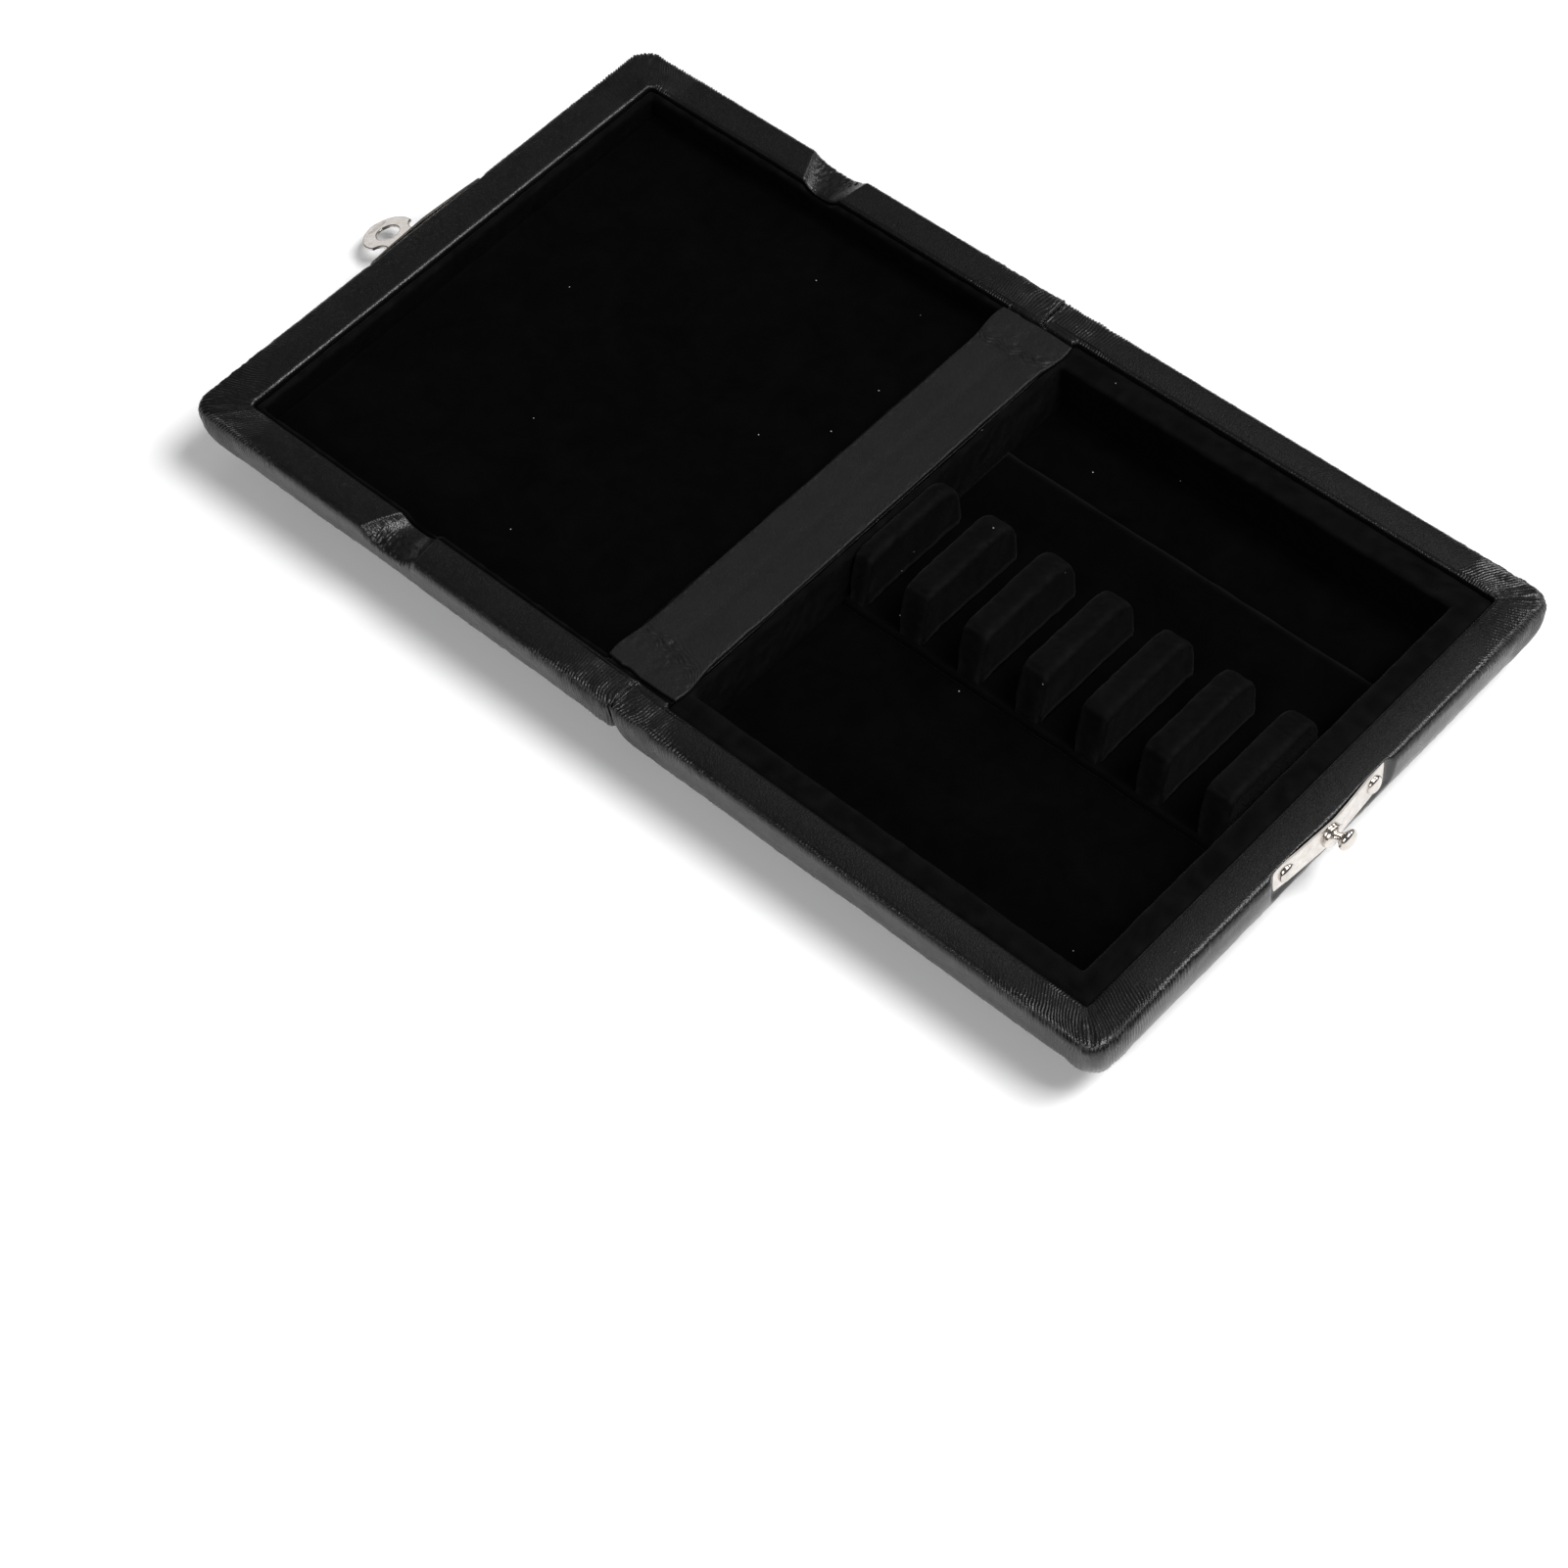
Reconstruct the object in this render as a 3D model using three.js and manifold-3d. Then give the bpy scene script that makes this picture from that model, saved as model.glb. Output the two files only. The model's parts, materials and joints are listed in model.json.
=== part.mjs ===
// A small leather-covered case of two shallow halves, hinged along one side by a leather strip.
// It lies open flat: the base to +X, the lid to -X, both rims up, the hasp standing out from the lid
// with its tip a little below level.
// Millimetres, +Z up. The origin is the middle of the base's underside, on the table.
import * as THREE from "three";
import { mergeVertices } from "three/addons/utils/BufferGeometryUtils.js";
import Module from "manifold-3d";

const wasm = await Module();
wasm.setup();

// Each half: X is measured from the hinge line, "drop" is measured down from the rim.
const WIDTH = 105; // along the hinge
const DEPTH = 94.6; // hinge line to front wall
const HEIGHT = 15.5; // rim to table
const LID_CROWN = 2; // how far the padded lid swells at its middle, within HEIGHT
const PLAN_CORNER = 3.2; // corner radius of the outline at the widest line
const CORNER_GROWTH = 0.15; // how much that radius grows for each millimetre inwards
const ROUND_IN = 13.2; // how far in the big edge rounding reaches
const WALL_TOP = 1.6; // drop where the small rim rounding ends and the wall starts
const ROUND_POWER = 2.4; // superellipse power of the edge rounding
const WALL_GAP = 0.2; // from the hinge line to each half's back wall
const RIM_GAP = 0.25; // from each rim to the plane of the hinge axis

// Layers, from the outside in.
const LEATHER = 1;
const FIT_GAP = 0.2; // between the leather and the board inside it
const SEAT_GAP = 0.3; // between other neighbouring pieces
const FLANGE_DROP = 3.5; // how far the leather turns down inside the opening
const BASE_LINING = { hinge: 0.8, front: 4.4, side: 4.4 }; // velvet-covered lining wall thicknesses
const LID_LINING = { hinge: 0.8, front: 0.8, side: 0.8 };
const LINING_DROP = 0.9; // lining walls stop this far below the rim

// The opening in each rim: leather band widths at the hinge, the front and the sides.
const BASE_BAND = { hinge: 6.3, front: 6.6, side: 5.8 };
const LID_BAND = { hinge: 6.2, front: 8.1, side: 6.6 };

// Drops of the inner layers.
const BASE_FLOOR = 11.2;
const BASE_FLOOR_SHEET = 0.8;
const LID_PANEL = 6;
const LID_PANEL_SHEET = 1;
const LID_BOARD = 2.5;

// The leather hinge strip lies in a shallow step of both rims.
const STRIP_HALF_LENGTH = 45.4;
const STRIP_STEP = 0.7;
const STRIP_BELOW = 0.65;
const STRIP_ABOVE = 0.1;
const STRIP_FOLD_GAP = 0.15;

// Finger notches in the lid's side rims.
const NOTCH_RADIUS = 9.4;
const NOTCH_DEEP = 2.4;

// The rack: a low platform across the well with seven teeth, and six slots between them.
const TEETH = 7;
const TOOTH_PITCH = 11.7;
const TOOTH_THICK = 5.2;
const TOOTH_FIRST = 6.45; // hinge line to the first tooth, whose back is cut away by the hinge wall
const TOOTH_NEAR = -9.3;
const TOOTH_RISE = 9.4;
const TOOTH_ROUND = 4.5;
const TOOTH_FAR = 13.7;
const PLATFORM = { near: -10, far: 29, thick: 1.6 };

// The catch. "High" is measured up from the closed parting plane towards the lid.
const PLATE = { long: 25.6, high: 5.4, thick: 0.5, edge: 0.4, corner: 0.7 };
const PLATE_STAND = 0.1; // between the wall's widest line and the plate
const RIVET_AT = 10; // from the middle to each rivet
const RIVET = { head: 1.6, rise: 0.8, shank: 0.45, deep: 4.5 };
const SHANK_GAP = 0.15;
const BARREL = { high: 7.5, out: 1.35, radius: 1.1, half: 3.8, joint: 1.25, play: 0.1 };
const PIN = { radius: 0.45, head: 0.95, domeRise: 0.7 };
const HASP = { neck: 1.1, shoulder: 4.7, shoulderTop: 2.3, waist: 7.45, lobeAt: 10.5, lobe: 4.6 };
const HASP_PLATE = { near: -0.05, far: 0.45 };
const HASP_NOTCH = { at: 5, radius: 2 };
const HASP_HOLE = 2.05;
const HASP_DROOP = 18; // degrees that the open hasp hangs below level
const STUD = { collar: 2, collarRise: 0.5, neck: 0.85, neckTop: 1.45, head: 1.75, headHalf: 0.8 };

const RIM_Z = HEIGHT;
const HINGE_X = -(WALL_GAP + DEPTH / 2);
const HINGE_Z = RIM_Z + RIM_GAP;
const FRONT_X = WALL_GAP + DEPTH;
const PLATE_MIDDLE = PLATE.edge + PLATE.high / 2;
const THROUGH = 60; // longer than any piece that a cutter passes through

function standard(color, roughness, metalness = 0) {
  return new THREE.MeshStandardMaterial({ color, roughness, metalness });
}

const leather = standard(0x0d0d0e, 0.5);
const stripLeather = standard(0x232323, 0.75);
const velvet = standard(0x060606, 1);
const board = standard(0x9a7a55, 0.8);
const foam = standard(0xd8d3c4, 0.95);
const nickel = standard(0xc9bfb4, 0.22, 1);

function solid(geometry) {
  const bare = geometry.index ? geometry.toNonIndexed() : geometry.clone();
  bare.deleteAttribute("normal");
  bare.deleteAttribute("uv");
  const merged = mergeVertices(bare, 1e-4);
  const vertProperties = new Float32Array(merged.attributes.position.array);
  const triVerts = new Uint32Array(merged.index.array);
  return new wasm.Manifold(new wasm.Mesh({ numProp: 3, vertProperties, triVerts }));
}

function mesh(name, shape, material) {
  const result = shape.getMesh();
  const geometry = new THREE.BufferGeometry();
  geometry.setAttribute("position", new THREE.BufferAttribute(result.vertProperties, 3));
  geometry.setIndex(new THREE.BufferAttribute(result.triVerts, 1));
  const part = new THREE.Mesh(geometry, material);
  part.name = name;
  return part;
}

function box(x0, x1, y0, y1, z0, z1) {
  const geometry = new THREE.BoxGeometry(x1 - x0, y1 - y0, z1 - z0);
  return solid(geometry.translate((x0 + x1) / 2, (y0 + y1) / 2, (z0 + z1) / 2));
}

// A turned piece: the profile's first number is a radius, its second runs along the axis.
function turned(profile, steps) {
  return new THREE.LatheGeometry(profile.map(([r, h]) => new THREE.Vector2(r, h)), steps);
}

function alongY(geometry, x, z) {
  return solid(geometry.translate(x, 0, z));
}

function alongX(geometry, x, y, z) {
  return solid(geometry.rotateZ(-Math.PI / 2).translate(x, y, z));
}

function rodY(radius, y0, y1, x, z, steps = 20) {
  return alongY(turned([[0, y0], [radius, y0], [radius, y1], [0, y1]], steps), x, z);
}

function rodX(radius, x0, x1, y, z, steps = 12) {
  return alongX(turned([[0, x0], [radius, x0], [radius, x1], [0, x1]], steps), 0, y, z);
}

function rodZ(radius, z0, z1, x, y, steps = 40) {
  const geometry = turned([[0, z0], [radius, z0], [radius, z1], [0, z1]], steps);
  return solid(geometry.rotateX(Math.PI / 2).translate(x, y, 0));
}

// Points of the half's outline, moved in by "inset", counter-clockwise seen from above.
function outline(inset, cornerSteps = 5) {
  const radius = PLAN_CORNER + CORNER_GROWTH * inset;
  const x0 = WALL_GAP + inset + radius;
  const x1 = WALL_GAP + DEPTH - inset - radius;
  const y1 = WIDTH / 2 - inset - radius;
  const corners = [[x1, y1, 0], [x0, y1, 1], [x0, -y1, 2], [x1, -y1, 3]];
  const points = [];
  for (const [x, y, quarter] of corners) {
    for (let step = 0; step <= cornerSteps; step += 1) {
      const angle = (quarter + step / cornerSteps) * (Math.PI / 2);
      points.push([x + radius * Math.cos(angle), y + radius * Math.sin(angle)]);
    }
  }
  return points;
}

// Insets and drops of a half from its rim to its middle, "skin" millimetres inside its surface.
function profile(crown, skin) {
  const swell = (inset) => crown * (1 - (1 - (2 * inset) / DEPTH) ** 2);
  const rise = HEIGHT - WALL_TOP - crown;
  const levels = [[skin, skin]];
  if (skin === 0) {
    levels[0] = [0.9, 0];
    levels.push([0.3, 0.35], [0.06, 0.9]);
  }
  for (const degrees of [0, 15, 30, 45, 58, 70, 80, 90]) {
    const angle = (degrees * Math.PI) / 180;
    const across = 1 - Math.max(Math.cos(angle), 0) ** (2 / ROUND_POWER);
    const down = Math.sin(angle) ** (2 / ROUND_POWER);
    const inset = skin + (ROUND_IN - skin) * across;
    levels.push([inset, WALL_TOP + (rise - skin) * down + swell(inset)]);
  }
  if (crown > 0) {
    for (const inset of [20, 28, 36]) levels.push([inset, WALL_TOP + rise - skin + swell(inset)]);
    levels[levels.length - 1][1] = HEIGHT - skin;
  }
  return levels;
}

// A half as one full solid: its outline stacked down the profile and closed at both ends.
function half(crown, skin) {
  const rings = profile(crown, skin).map(([inset, drop]) => {
    return outline(inset).map(([x, y]) => [x, y, RIM_Z - drop]);
  });
  const count = rings[0].length;
  const positions = rings.flat(2);
  const index = [];
  for (let level = 0; level + 1 < rings.length; level += 1) {
    for (let i = 0; i < count; i += 1) {
      const next = (i + 1) % count;
      const upper = level * count;
      const lower = upper + count;
      index.push(upper + i, lower + i, lower + next);
      index.push(upper + i, lower + next, upper + next);
    }
  }
  const last = (rings.length - 1) * count;
  for (let i = 1; i + 1 < count; i += 1) {
    index.push(0, i, i + 1);
    index.push(last, last + i + 1, last + i);
  }
  const geometry = new THREE.BufferGeometry();
  geometry.setAttribute("position", new THREE.Float32BufferAttribute(positions, 3));
  geometry.setIndex(index);
  return solid(geometry);
}

// A block over the opening of a rim, grown by "grow" and reaching from one drop to another.
function overOpening(band, grow, fromDrop, toDrop) {
  const x0 = WALL_GAP + band.hinge - grow;
  const x1 = FRONT_X - band.front + grow;
  const y1 = WIDTH / 2 - band.side + grow;
  return box(x0, x1, -y1, y1, RIM_Z - toDrop, RIM_Z - fromDrop);
}

// The step in the hinge side of a rim that the hinge strip lies in, running on into the opening.
function stripStep(band, grow, drop) {
  const y1 = STRIP_HALF_LENGTH + SEAT_GAP + grow;
  const x1 = WALL_GAP + band.hinge + grow + 0.5;
  return box(-1, x1, -y1, y1, RIM_Z - drop, RIM_Z + 1);
}

// The finger notch: a wide shallow groove across both side rims.
function fingerNotch(grow) {
  const z = RIM_Z + NOTCH_RADIUS - NOTCH_DEEP;
  return rodY(NOTCH_RADIUS + grow, -THROUGH, THROUGH, WALL_GAP + DEPTH / 2, z, 64);
}

// Holes for two rivets, and for the stud where there is one.
function nailHoles(z, withStud) {
  const radius = RIVET.shank + SHANK_GAP;
  const inner = FRONT_X - RIVET.deep - SEAT_GAP;
  let holes = rodX(radius, inner, FRONT_X + 3, -RIVET_AT, z);
  holes = holes.add(rodX(radius, inner, FRONT_X + 3, RIVET_AT, z));
  if (withStud) holes = holes.add(rodX(STUD.neck + SHANK_GAP, inner, FRONT_X + 3, 0, z));
  return holes;
}

function leatherCover(crown, band, holes, notched) {
  const notch = (grow) => (notched ? fingerNotch(grow) : box(-3, -2, 0, 1, 0, 1));
  const flange = overOpening(band, LEATHER, 0, FLANGE_DROP);
  const room = half(crown, LEATHER)
    .subtract(flange)
    .subtract(notch(LEATHER))
    .subtract(stripStep(band, LEATHER, STRIP_STEP + LEATHER));
  return half(crown, 0)
    .subtract(room)
    .subtract(overOpening(band, 0, -1, FLANGE_DROP + 1))
    .subtract(notch(0))
    .subtract(stripStep(band, 0, STRIP_STEP))
    .subtract(holes);
}

function boardTray(crown, band, cavityDrop, boardBottom, holes, notched) {
  const skin = LEATHER + FIT_GAP;
  const tray = half(crown, skin)
    .subtract(overOpening(band, skin, -1, FLANGE_DROP + FIT_GAP))
    .subtract(overOpening(band, 0, -1, cavityDrop))
    .subtract(stripStep(band, skin, STRIP_STEP + skin))
    .subtract(overOpening(band, THROUGH, boardBottom, HEIGHT + 5))
    .subtract(holes);
  return notched ? tray.subtract(fingerNotch(skin)) : tray;
}

// The band widths measured to the inner faces of the lining walls.
function linedBand(band, lining) {
  return {
    hinge: band.hinge + SEAT_GAP + lining.hinge,
    front: band.front + SEAT_GAP + lining.front,
    side: band.side + SEAT_GAP + lining.side,
  };
}

function liningWalls(band, lining, bottomDrop, notched) {
  const walls = overOpening(band, -SEAT_GAP, LINING_DROP, bottomDrop)
    .subtract(overOpening(linedBand(band, lining), 0, -1, bottomDrop + 1));
  return notched ? walls.subtract(fingerNotch(SEAT_GAP)) : walls;
}

// One leaf of the leather hinge strip, from the fold at the hinge line to the opening.
function hingeLeaf(band) {
  const x1 = WALL_GAP + band.hinge;
  const y1 = STRIP_HALF_LENGTH;
  return box(STRIP_FOLD_GAP, x1, -y1, y1, RIM_Z - STRIP_BELOW, RIM_Z + STRIP_ABOVE);
}

// Side view of a rack tooth: a steep near end, a level ridge and a round far end.
function toothProfile() {
  const top = TOOTH_RISE;
  const shape = new THREE.Shape();
  shape.moveTo(TOOTH_NEAR, 0);
  shape.lineTo(TOOTH_NEAR + 2, top - 1.6);
  shape.quadraticCurveTo(TOOTH_NEAR + 2.5, top, TOOTH_NEAR + 3.6, top);
  shape.lineTo(TOOTH_FAR - TOOTH_ROUND, top);
  shape.absarc(TOOTH_FAR - TOOTH_ROUND, top - TOOTH_ROUND, TOOTH_ROUND, Math.PI / 2, 0, true);
  shape.lineTo(TOOTH_FAR, 0);
  shape.closePath();
  return shape;
}

function rackTooth(index, backX, z) {
  const x = Math.max(TOOTH_FIRST + index * TOOTH_PITCH, backX);
  const geometry = new THREE.ExtrudeGeometry(toothProfile(), {
    depth: TOOTH_FIRST + index * TOOTH_PITCH + TOOTH_THICK - x,
    bevelEnabled: false,
    curveSegments: 6,
  });
  // The profile's axes become Y and Z, and the extrusion runs along X.
  geometry.rotateX(Math.PI / 2).rotateZ(Math.PI / 2);
  return solid(geometry.translate(x, 0, z));
}

function platePlan(radius) {
  const x = PLATE.long / 2 - radius;
  const y = PLATE.high / 2 - radius;
  const shape = new THREE.Shape();
  shape.absarc(x, y, radius, 0, Math.PI / 2);
  shape.absarc(-x, y, radius, Math.PI / 2, Math.PI);
  shape.absarc(-x, -y, radius, Math.PI, Math.PI * 1.5);
  shape.absarc(x, -y, radius, Math.PI * 1.5, Math.PI * 2);
  shape.closePath();
  return shape;
}

function latchPlate(z, holes) {
  const options = { depth: PLATE.thick, bevelEnabled: false, curveSegments: 4 };
  const geometry = new THREE.ExtrudeGeometry(platePlan(PLATE.corner), options);
  geometry.rotateX(Math.PI / 2).rotateZ(Math.PI / 2);
  return solid(geometry.translate(FRONT_X + PLATE_STAND, 0, z)).subtract(holes);
}

function rivet(y, z) {
  const face = FRONT_X + PLATE_STAND + PLATE.thick;
  const inner = face - RIVET.deep;
  const points = [[0, inner], [RIVET.shank, inner + 0.6], [RIVET.shank, face], [RIVET.head, face]];
  for (let step = 1; step < 5; step += 1) {
    const angle = (step / 5) * (Math.PI / 2);
    points.push([RIVET.head * Math.cos(angle), face + RIVET.rise * Math.sin(angle)]);
  }
  points.push([0, face + RIVET.rise]);
  return alongX(turned(points, 16), 0, y, z);
}

// A button head on a neck on a round collar, with a shank into the board.
function latchStud(z) {
  const face = FRONT_X + PLATE_STAND + PLATE.thick;
  const inner = face - RIVET.deep;
  const centre = face + STUD.neckTop + STUD.headHalf;
  const points = [[0, inner], [STUD.neck, inner + 0.6], [STUD.neck, face]];
  points.push([STUD.collar, face], [STUD.collar, face + STUD.collarRise * 0.7]);
  points.push([STUD.collar - 0.4, face + STUD.collarRise], [STUD.neck, face + STUD.collarRise]);
  for (let step = -3; step < 5; step += 1) {
    const angle = (step / 5) * (Math.PI / 2);
    points.push([STUD.head * Math.cos(angle), centre + STUD.headHalf * Math.sin(angle)]);
  }
  points.push([0, centre + STUD.headHalf]);
  return alongX(turned(points, 20), 0, 0, z);
}

const BARREL_X = FRONT_X + BARREL.out;
const BARREL_Z = HINGE_Z - BARREL.high;

function barrelBore(half) {
  return rodY(PIN.radius + SHANK_GAP, -half, half, BARREL_X, BARREL_Z, 16);
}

// The lid's plate carries the two outer knuckles on tabs.
function lidPlate(z, holes) {
  const back = FRONT_X + PLATE_STAND;
  let plate = latchPlate(z, holes);
  for (const side of [-1, 1]) {
    const y0 = Math.min(side * BARREL.joint, side * BARREL.half);
    const y1 = Math.max(side * BARREL.joint, side * BARREL.half);
    plate = plate.add(rodY(BARREL.radius, y0, y1, BARREL_X, BARREL_Z));
    plate = plate.add(box(back, back + PLATE.thick, y0, y1, BARREL_Z, z));
  }
  return plate.subtract(barrelBore(BARREL.half + 1));
}

function hingePin() {
  const head = BARREL.half + BARREL.play;
  const points = [[0, -head], [PIN.head, -head], [PIN.head, -head - PIN.domeRise * 0.4]];
  points.push([PIN.head * 0.6, -head - PIN.domeRise * 0.85], [0, -head - PIN.domeRise]);
  const dome = alongY(turned(points.reverse(), 16), BARREL_X, BARREL_Z);
  return rodY(PIN.radius, -head - 0.1, BARREL.half, BARREL_X, BARREL_Z, 16).add(dome);
}

// The hasp is drawn level, its tip to +X in the lid's own frame, its outer face down.
function hasp() {
  const top = BARREL_Z - HASP_PLATE.near;
  const bottom = BARREL_Z - HASP_PLATE.far;
  const knuckle = BARREL.joint - BARREL.play;
  const shoulder = BARREL_X + HASP.shoulderTop;
  const waist = BARREL_X + HASP.waist;
  const lobe = BARREL_X + HASP.lobeAt;
  let plate = box(BARREL_X, shoulder + 0.5, -HASP.neck, HASP.neck, bottom, top);
  plate = plate.add(box(shoulder, waist, -HASP.shoulder, HASP.shoulder, bottom, top));
  plate = plate.add(box(waist - 0.1, lobe, -HASP.lobe + 0.3, HASP.lobe - 0.3, bottom, top));
  plate = plate.add(rodZ(HASP.lobe, bottom, top, lobe, 0));
  for (const side of [-1, 1]) {
    const y = side * HASP_NOTCH.at;
    plate = plate.subtract(rodZ(HASP_NOTCH.radius, bottom - 1, top + 1, waist, y, 32));
  }
  plate = plate.subtract(rodZ(HASP_HOLE, bottom - 1, top + 1, lobe, 0, 32));
  plate = plate.add(rodY(BARREL.radius, -knuckle, knuckle, BARREL_X, BARREL_Z));
  return plate.subtract(barrelBore(knuckle + 1));
}

function makeBase() {
  const base = new THREE.Group();
  base.position.x = HINGE_X;
  const plateZ = HINGE_Z - PLATE_MIDDLE;
  const holes = nailHoles(plateZ, true);
  const floorTop = RIM_Z - BASE_FLOOR;
  const floorBottom = BASE_FLOOR + BASE_FLOOR_SHEET;
  const lined = linedBand(BASE_BAND, BASE_LINING);
  const backX = WALL_GAP + lined.hinge + SEAT_GAP;
  const frontX = FRONT_X - lined.front - SEAT_GAP;
  const platformTop = floorTop + PLATFORM.thick;
  const tray = boardTray(0, BASE_BAND, floorBottom + SEAT_GAP, HEIGHT + 1, holes, false);
  base.add(mesh("base_leather_cover", leatherCover(0, BASE_BAND, holes, false), leather));
  base.add(mesh("base_board_tray", tray, board));
  base.add(mesh("base_velvet_floor", overOpening(BASE_BAND, -SEAT_GAP, BASE_FLOOR, floorBottom), velvet));
  base.add(mesh("base_velvet_walls", liningWalls(BASE_BAND, BASE_LINING, BASE_FLOOR, false), velvet));
  const platform = box(backX, frontX, PLATFORM.near, PLATFORM.far, floorTop, platformTop);
  base.add(mesh("rack_platform", platform, velvet));
  for (let i = 0; i < TEETH; i += 1) {
    base.add(mesh(`rack_tooth_${i + 1}`, rackTooth(i, backX, platformTop), velvet));
  }
  base.add(mesh("hinge_strip_base_leaf", hingeLeaf(BASE_BAND), stripLeather));
  base.add(mesh("base_latch_plate", latchPlate(plateZ, holes), nickel));
  base.add(mesh("base_rivet_near", rivet(-RIVET_AT, plateZ), nickel));
  base.add(mesh("base_rivet_far", rivet(RIVET_AT, plateZ), nickel));
  base.add(mesh("latch_stud", latchStud(plateZ), nickel));
  return base;
}

// The hasp tilted about its pin so that its tip hangs below level.
function haspOnPin() {
  const pivot = new THREE.Group();
  const plate = mesh("hasp", hasp(), nickel);
  pivot.position.set(BARREL_X, 0, BARREL_Z);
  pivot.rotation.y = (HASP_DROOP * Math.PI) / 180;
  plate.position.set(-BARREL_X, 0, -BARREL_Z);
  pivot.add(plate);
  return pivot;
}

// The lid is built like the base, towards +X, and then turned round the upright through the hinge.
function makeLid() {
  const lid = new THREE.Group();
  lid.position.x = HINGE_X;
  lid.rotation.z = Math.PI;
  const plateZ = HINGE_Z - PLATE_MIDDLE;
  const holes = nailHoles(plateZ, false);
  const panelBottom = LID_PANEL + LID_PANEL_SHEET;
  const boardTop = panelBottom + SEAT_GAP;
  const boardBottom = boardTop + LID_BOARD;
  const panel = overOpening(LID_BAND, -SEAT_GAP, LID_PANEL, panelBottom);
  const pad = half(LID_CROWN, LEATHER + FIT_GAP)
    .subtract(overOpening(LID_BAND, THROUGH, -1, boardBottom + SEAT_GAP));
  const tray = boardTray(LID_CROWN, LID_BAND, boardTop, boardBottom, holes, true);
  const walls = liningWalls(LID_BAND, LID_LINING, LID_PANEL - SEAT_GAP, true);
  lid.add(mesh("lid_leather_cover", leatherCover(LID_CROWN, LID_BAND, holes, true), leather));
  lid.add(mesh("lid_board_tray", tray, board));
  lid.add(mesh("lid_foam_pad", pad, foam));
  lid.add(mesh("lid_velvet_panel", panel, velvet));
  lid.add(mesh("lid_velvet_walls", walls, velvet));
  lid.add(mesh("hinge_strip_lid_leaf", hingeLeaf(LID_BAND), stripLeather));
  lid.add(mesh("lid_latch_plate", lidPlate(plateZ, holes), nickel));
  lid.add(mesh("lid_rivet_near", rivet(RIVET_AT, plateZ), nickel));
  lid.add(mesh("lid_rivet_far", rivet(-RIVET_AT, plateZ), nickel));
  lid.add(mesh("hasp_pin", hingePin(), nickel));
  lid.add(haspOnPin());
  return lid;
}

const group = new THREE.Group();
group.add(makeBase());
group.add(makeLid());

export default group;
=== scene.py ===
# Visual model of a small leather-covered case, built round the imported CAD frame.
# Shapes are worked out in millimetres in each half's own frame and turned into metres at the end.
# In that frame X is measured from the hinge line, Y runs along the hinge, and "drop" is down from the rim.
import json
import math

import bmesh
import bpy
import numpy as np
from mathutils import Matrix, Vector


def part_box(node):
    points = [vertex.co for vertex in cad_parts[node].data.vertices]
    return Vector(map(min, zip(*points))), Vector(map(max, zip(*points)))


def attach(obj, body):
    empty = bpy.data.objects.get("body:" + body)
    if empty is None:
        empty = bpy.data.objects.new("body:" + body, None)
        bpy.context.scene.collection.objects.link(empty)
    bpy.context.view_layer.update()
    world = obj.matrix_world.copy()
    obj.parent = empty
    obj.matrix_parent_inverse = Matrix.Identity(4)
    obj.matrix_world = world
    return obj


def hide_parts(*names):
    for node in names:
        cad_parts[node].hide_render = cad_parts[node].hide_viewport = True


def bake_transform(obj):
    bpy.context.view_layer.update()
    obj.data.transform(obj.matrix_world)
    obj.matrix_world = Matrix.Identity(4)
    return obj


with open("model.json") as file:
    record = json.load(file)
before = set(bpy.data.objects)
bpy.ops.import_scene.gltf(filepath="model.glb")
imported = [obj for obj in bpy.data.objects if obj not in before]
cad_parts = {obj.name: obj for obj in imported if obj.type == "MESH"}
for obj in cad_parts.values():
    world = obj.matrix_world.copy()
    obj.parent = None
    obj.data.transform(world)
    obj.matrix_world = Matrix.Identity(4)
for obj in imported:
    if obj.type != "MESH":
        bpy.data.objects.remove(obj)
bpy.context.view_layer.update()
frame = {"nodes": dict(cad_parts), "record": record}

# ---------------------------------------------------------------- sizes, in millimetres
WIDTH = 105.0
DEPTH = 94.6
HEIGHT = 15.5
LID_CROWN = 2.0
PLAN_CORNER = 3.2
BASE_CORNERS = (3.2, 0.9, 0.9, 3.2)  # front far, hinge far, hinge near and front near corner radii
LID_CORNERS = (3.6, 0.9, 0.9, 3.6)
ROUNDED_CORNER = 5.2  # every corner's radius where the edge rounding ends
ROUND_IN = 13.2  # how far in the big rounding of the outside reaches
ROUND_POWER = 2.4  # its squareness, where 2 is an ellipse
PATCH_IN = 32  # from here on the rings of the outside shrink evenly towards the middle
WALL_TOP = 1.6  # how far down the rim's small outer rounding reaches
WALL_GAP = 0.2
HINGE_FACE = 0.06  # the halves' hinge faces nearly touch when the case lies open
EDGE_IN = 1.15  # width of the small rounding on the rim's outer edge
HINGE_EDGE = 0.25  # that rounding's width along the hinge, as a share of EDGE_IN
FLANGE_DROP = 3.5  # how far the leather is turned down into the opening
SEAT_GAP = 0.3
LINING_DROP = 0.9
BASE_FLOOR = 11.2
LID_PANEL = 6.0
BASE_BAND = {"hinge": 6.3, "front": 6.6, "side": 5.8}
LID_BAND = {"hinge": 6.2, "front": 8.1, "side": 6.6}
BASE_LINING = {"hinge": 0.8, "front": 4.4, "side": 4.4}
LID_LINING = {"hinge": 0.8, "front": 0.8, "side": 0.8}
STRIP_HALF_LENGTH = 45.4
STRIP_STEP = 0.7
NOTCH_DEEP = 1.9
NOTCH_INNER = 4.0  # half the finger notch's length at the opening
NOTCH_OUTER = 6.2  # and at the outer edge
NOTCH_SKEW = 1.2  # the notch's outer end sits this much further from the hinge
PLATE_LONG = 25.6
PLATE_HIGH = 5.4
PLATE_EDGE = 0.4  # from the plane where the halves meet down to the plate
PLATE_THICK = 0.5
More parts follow.
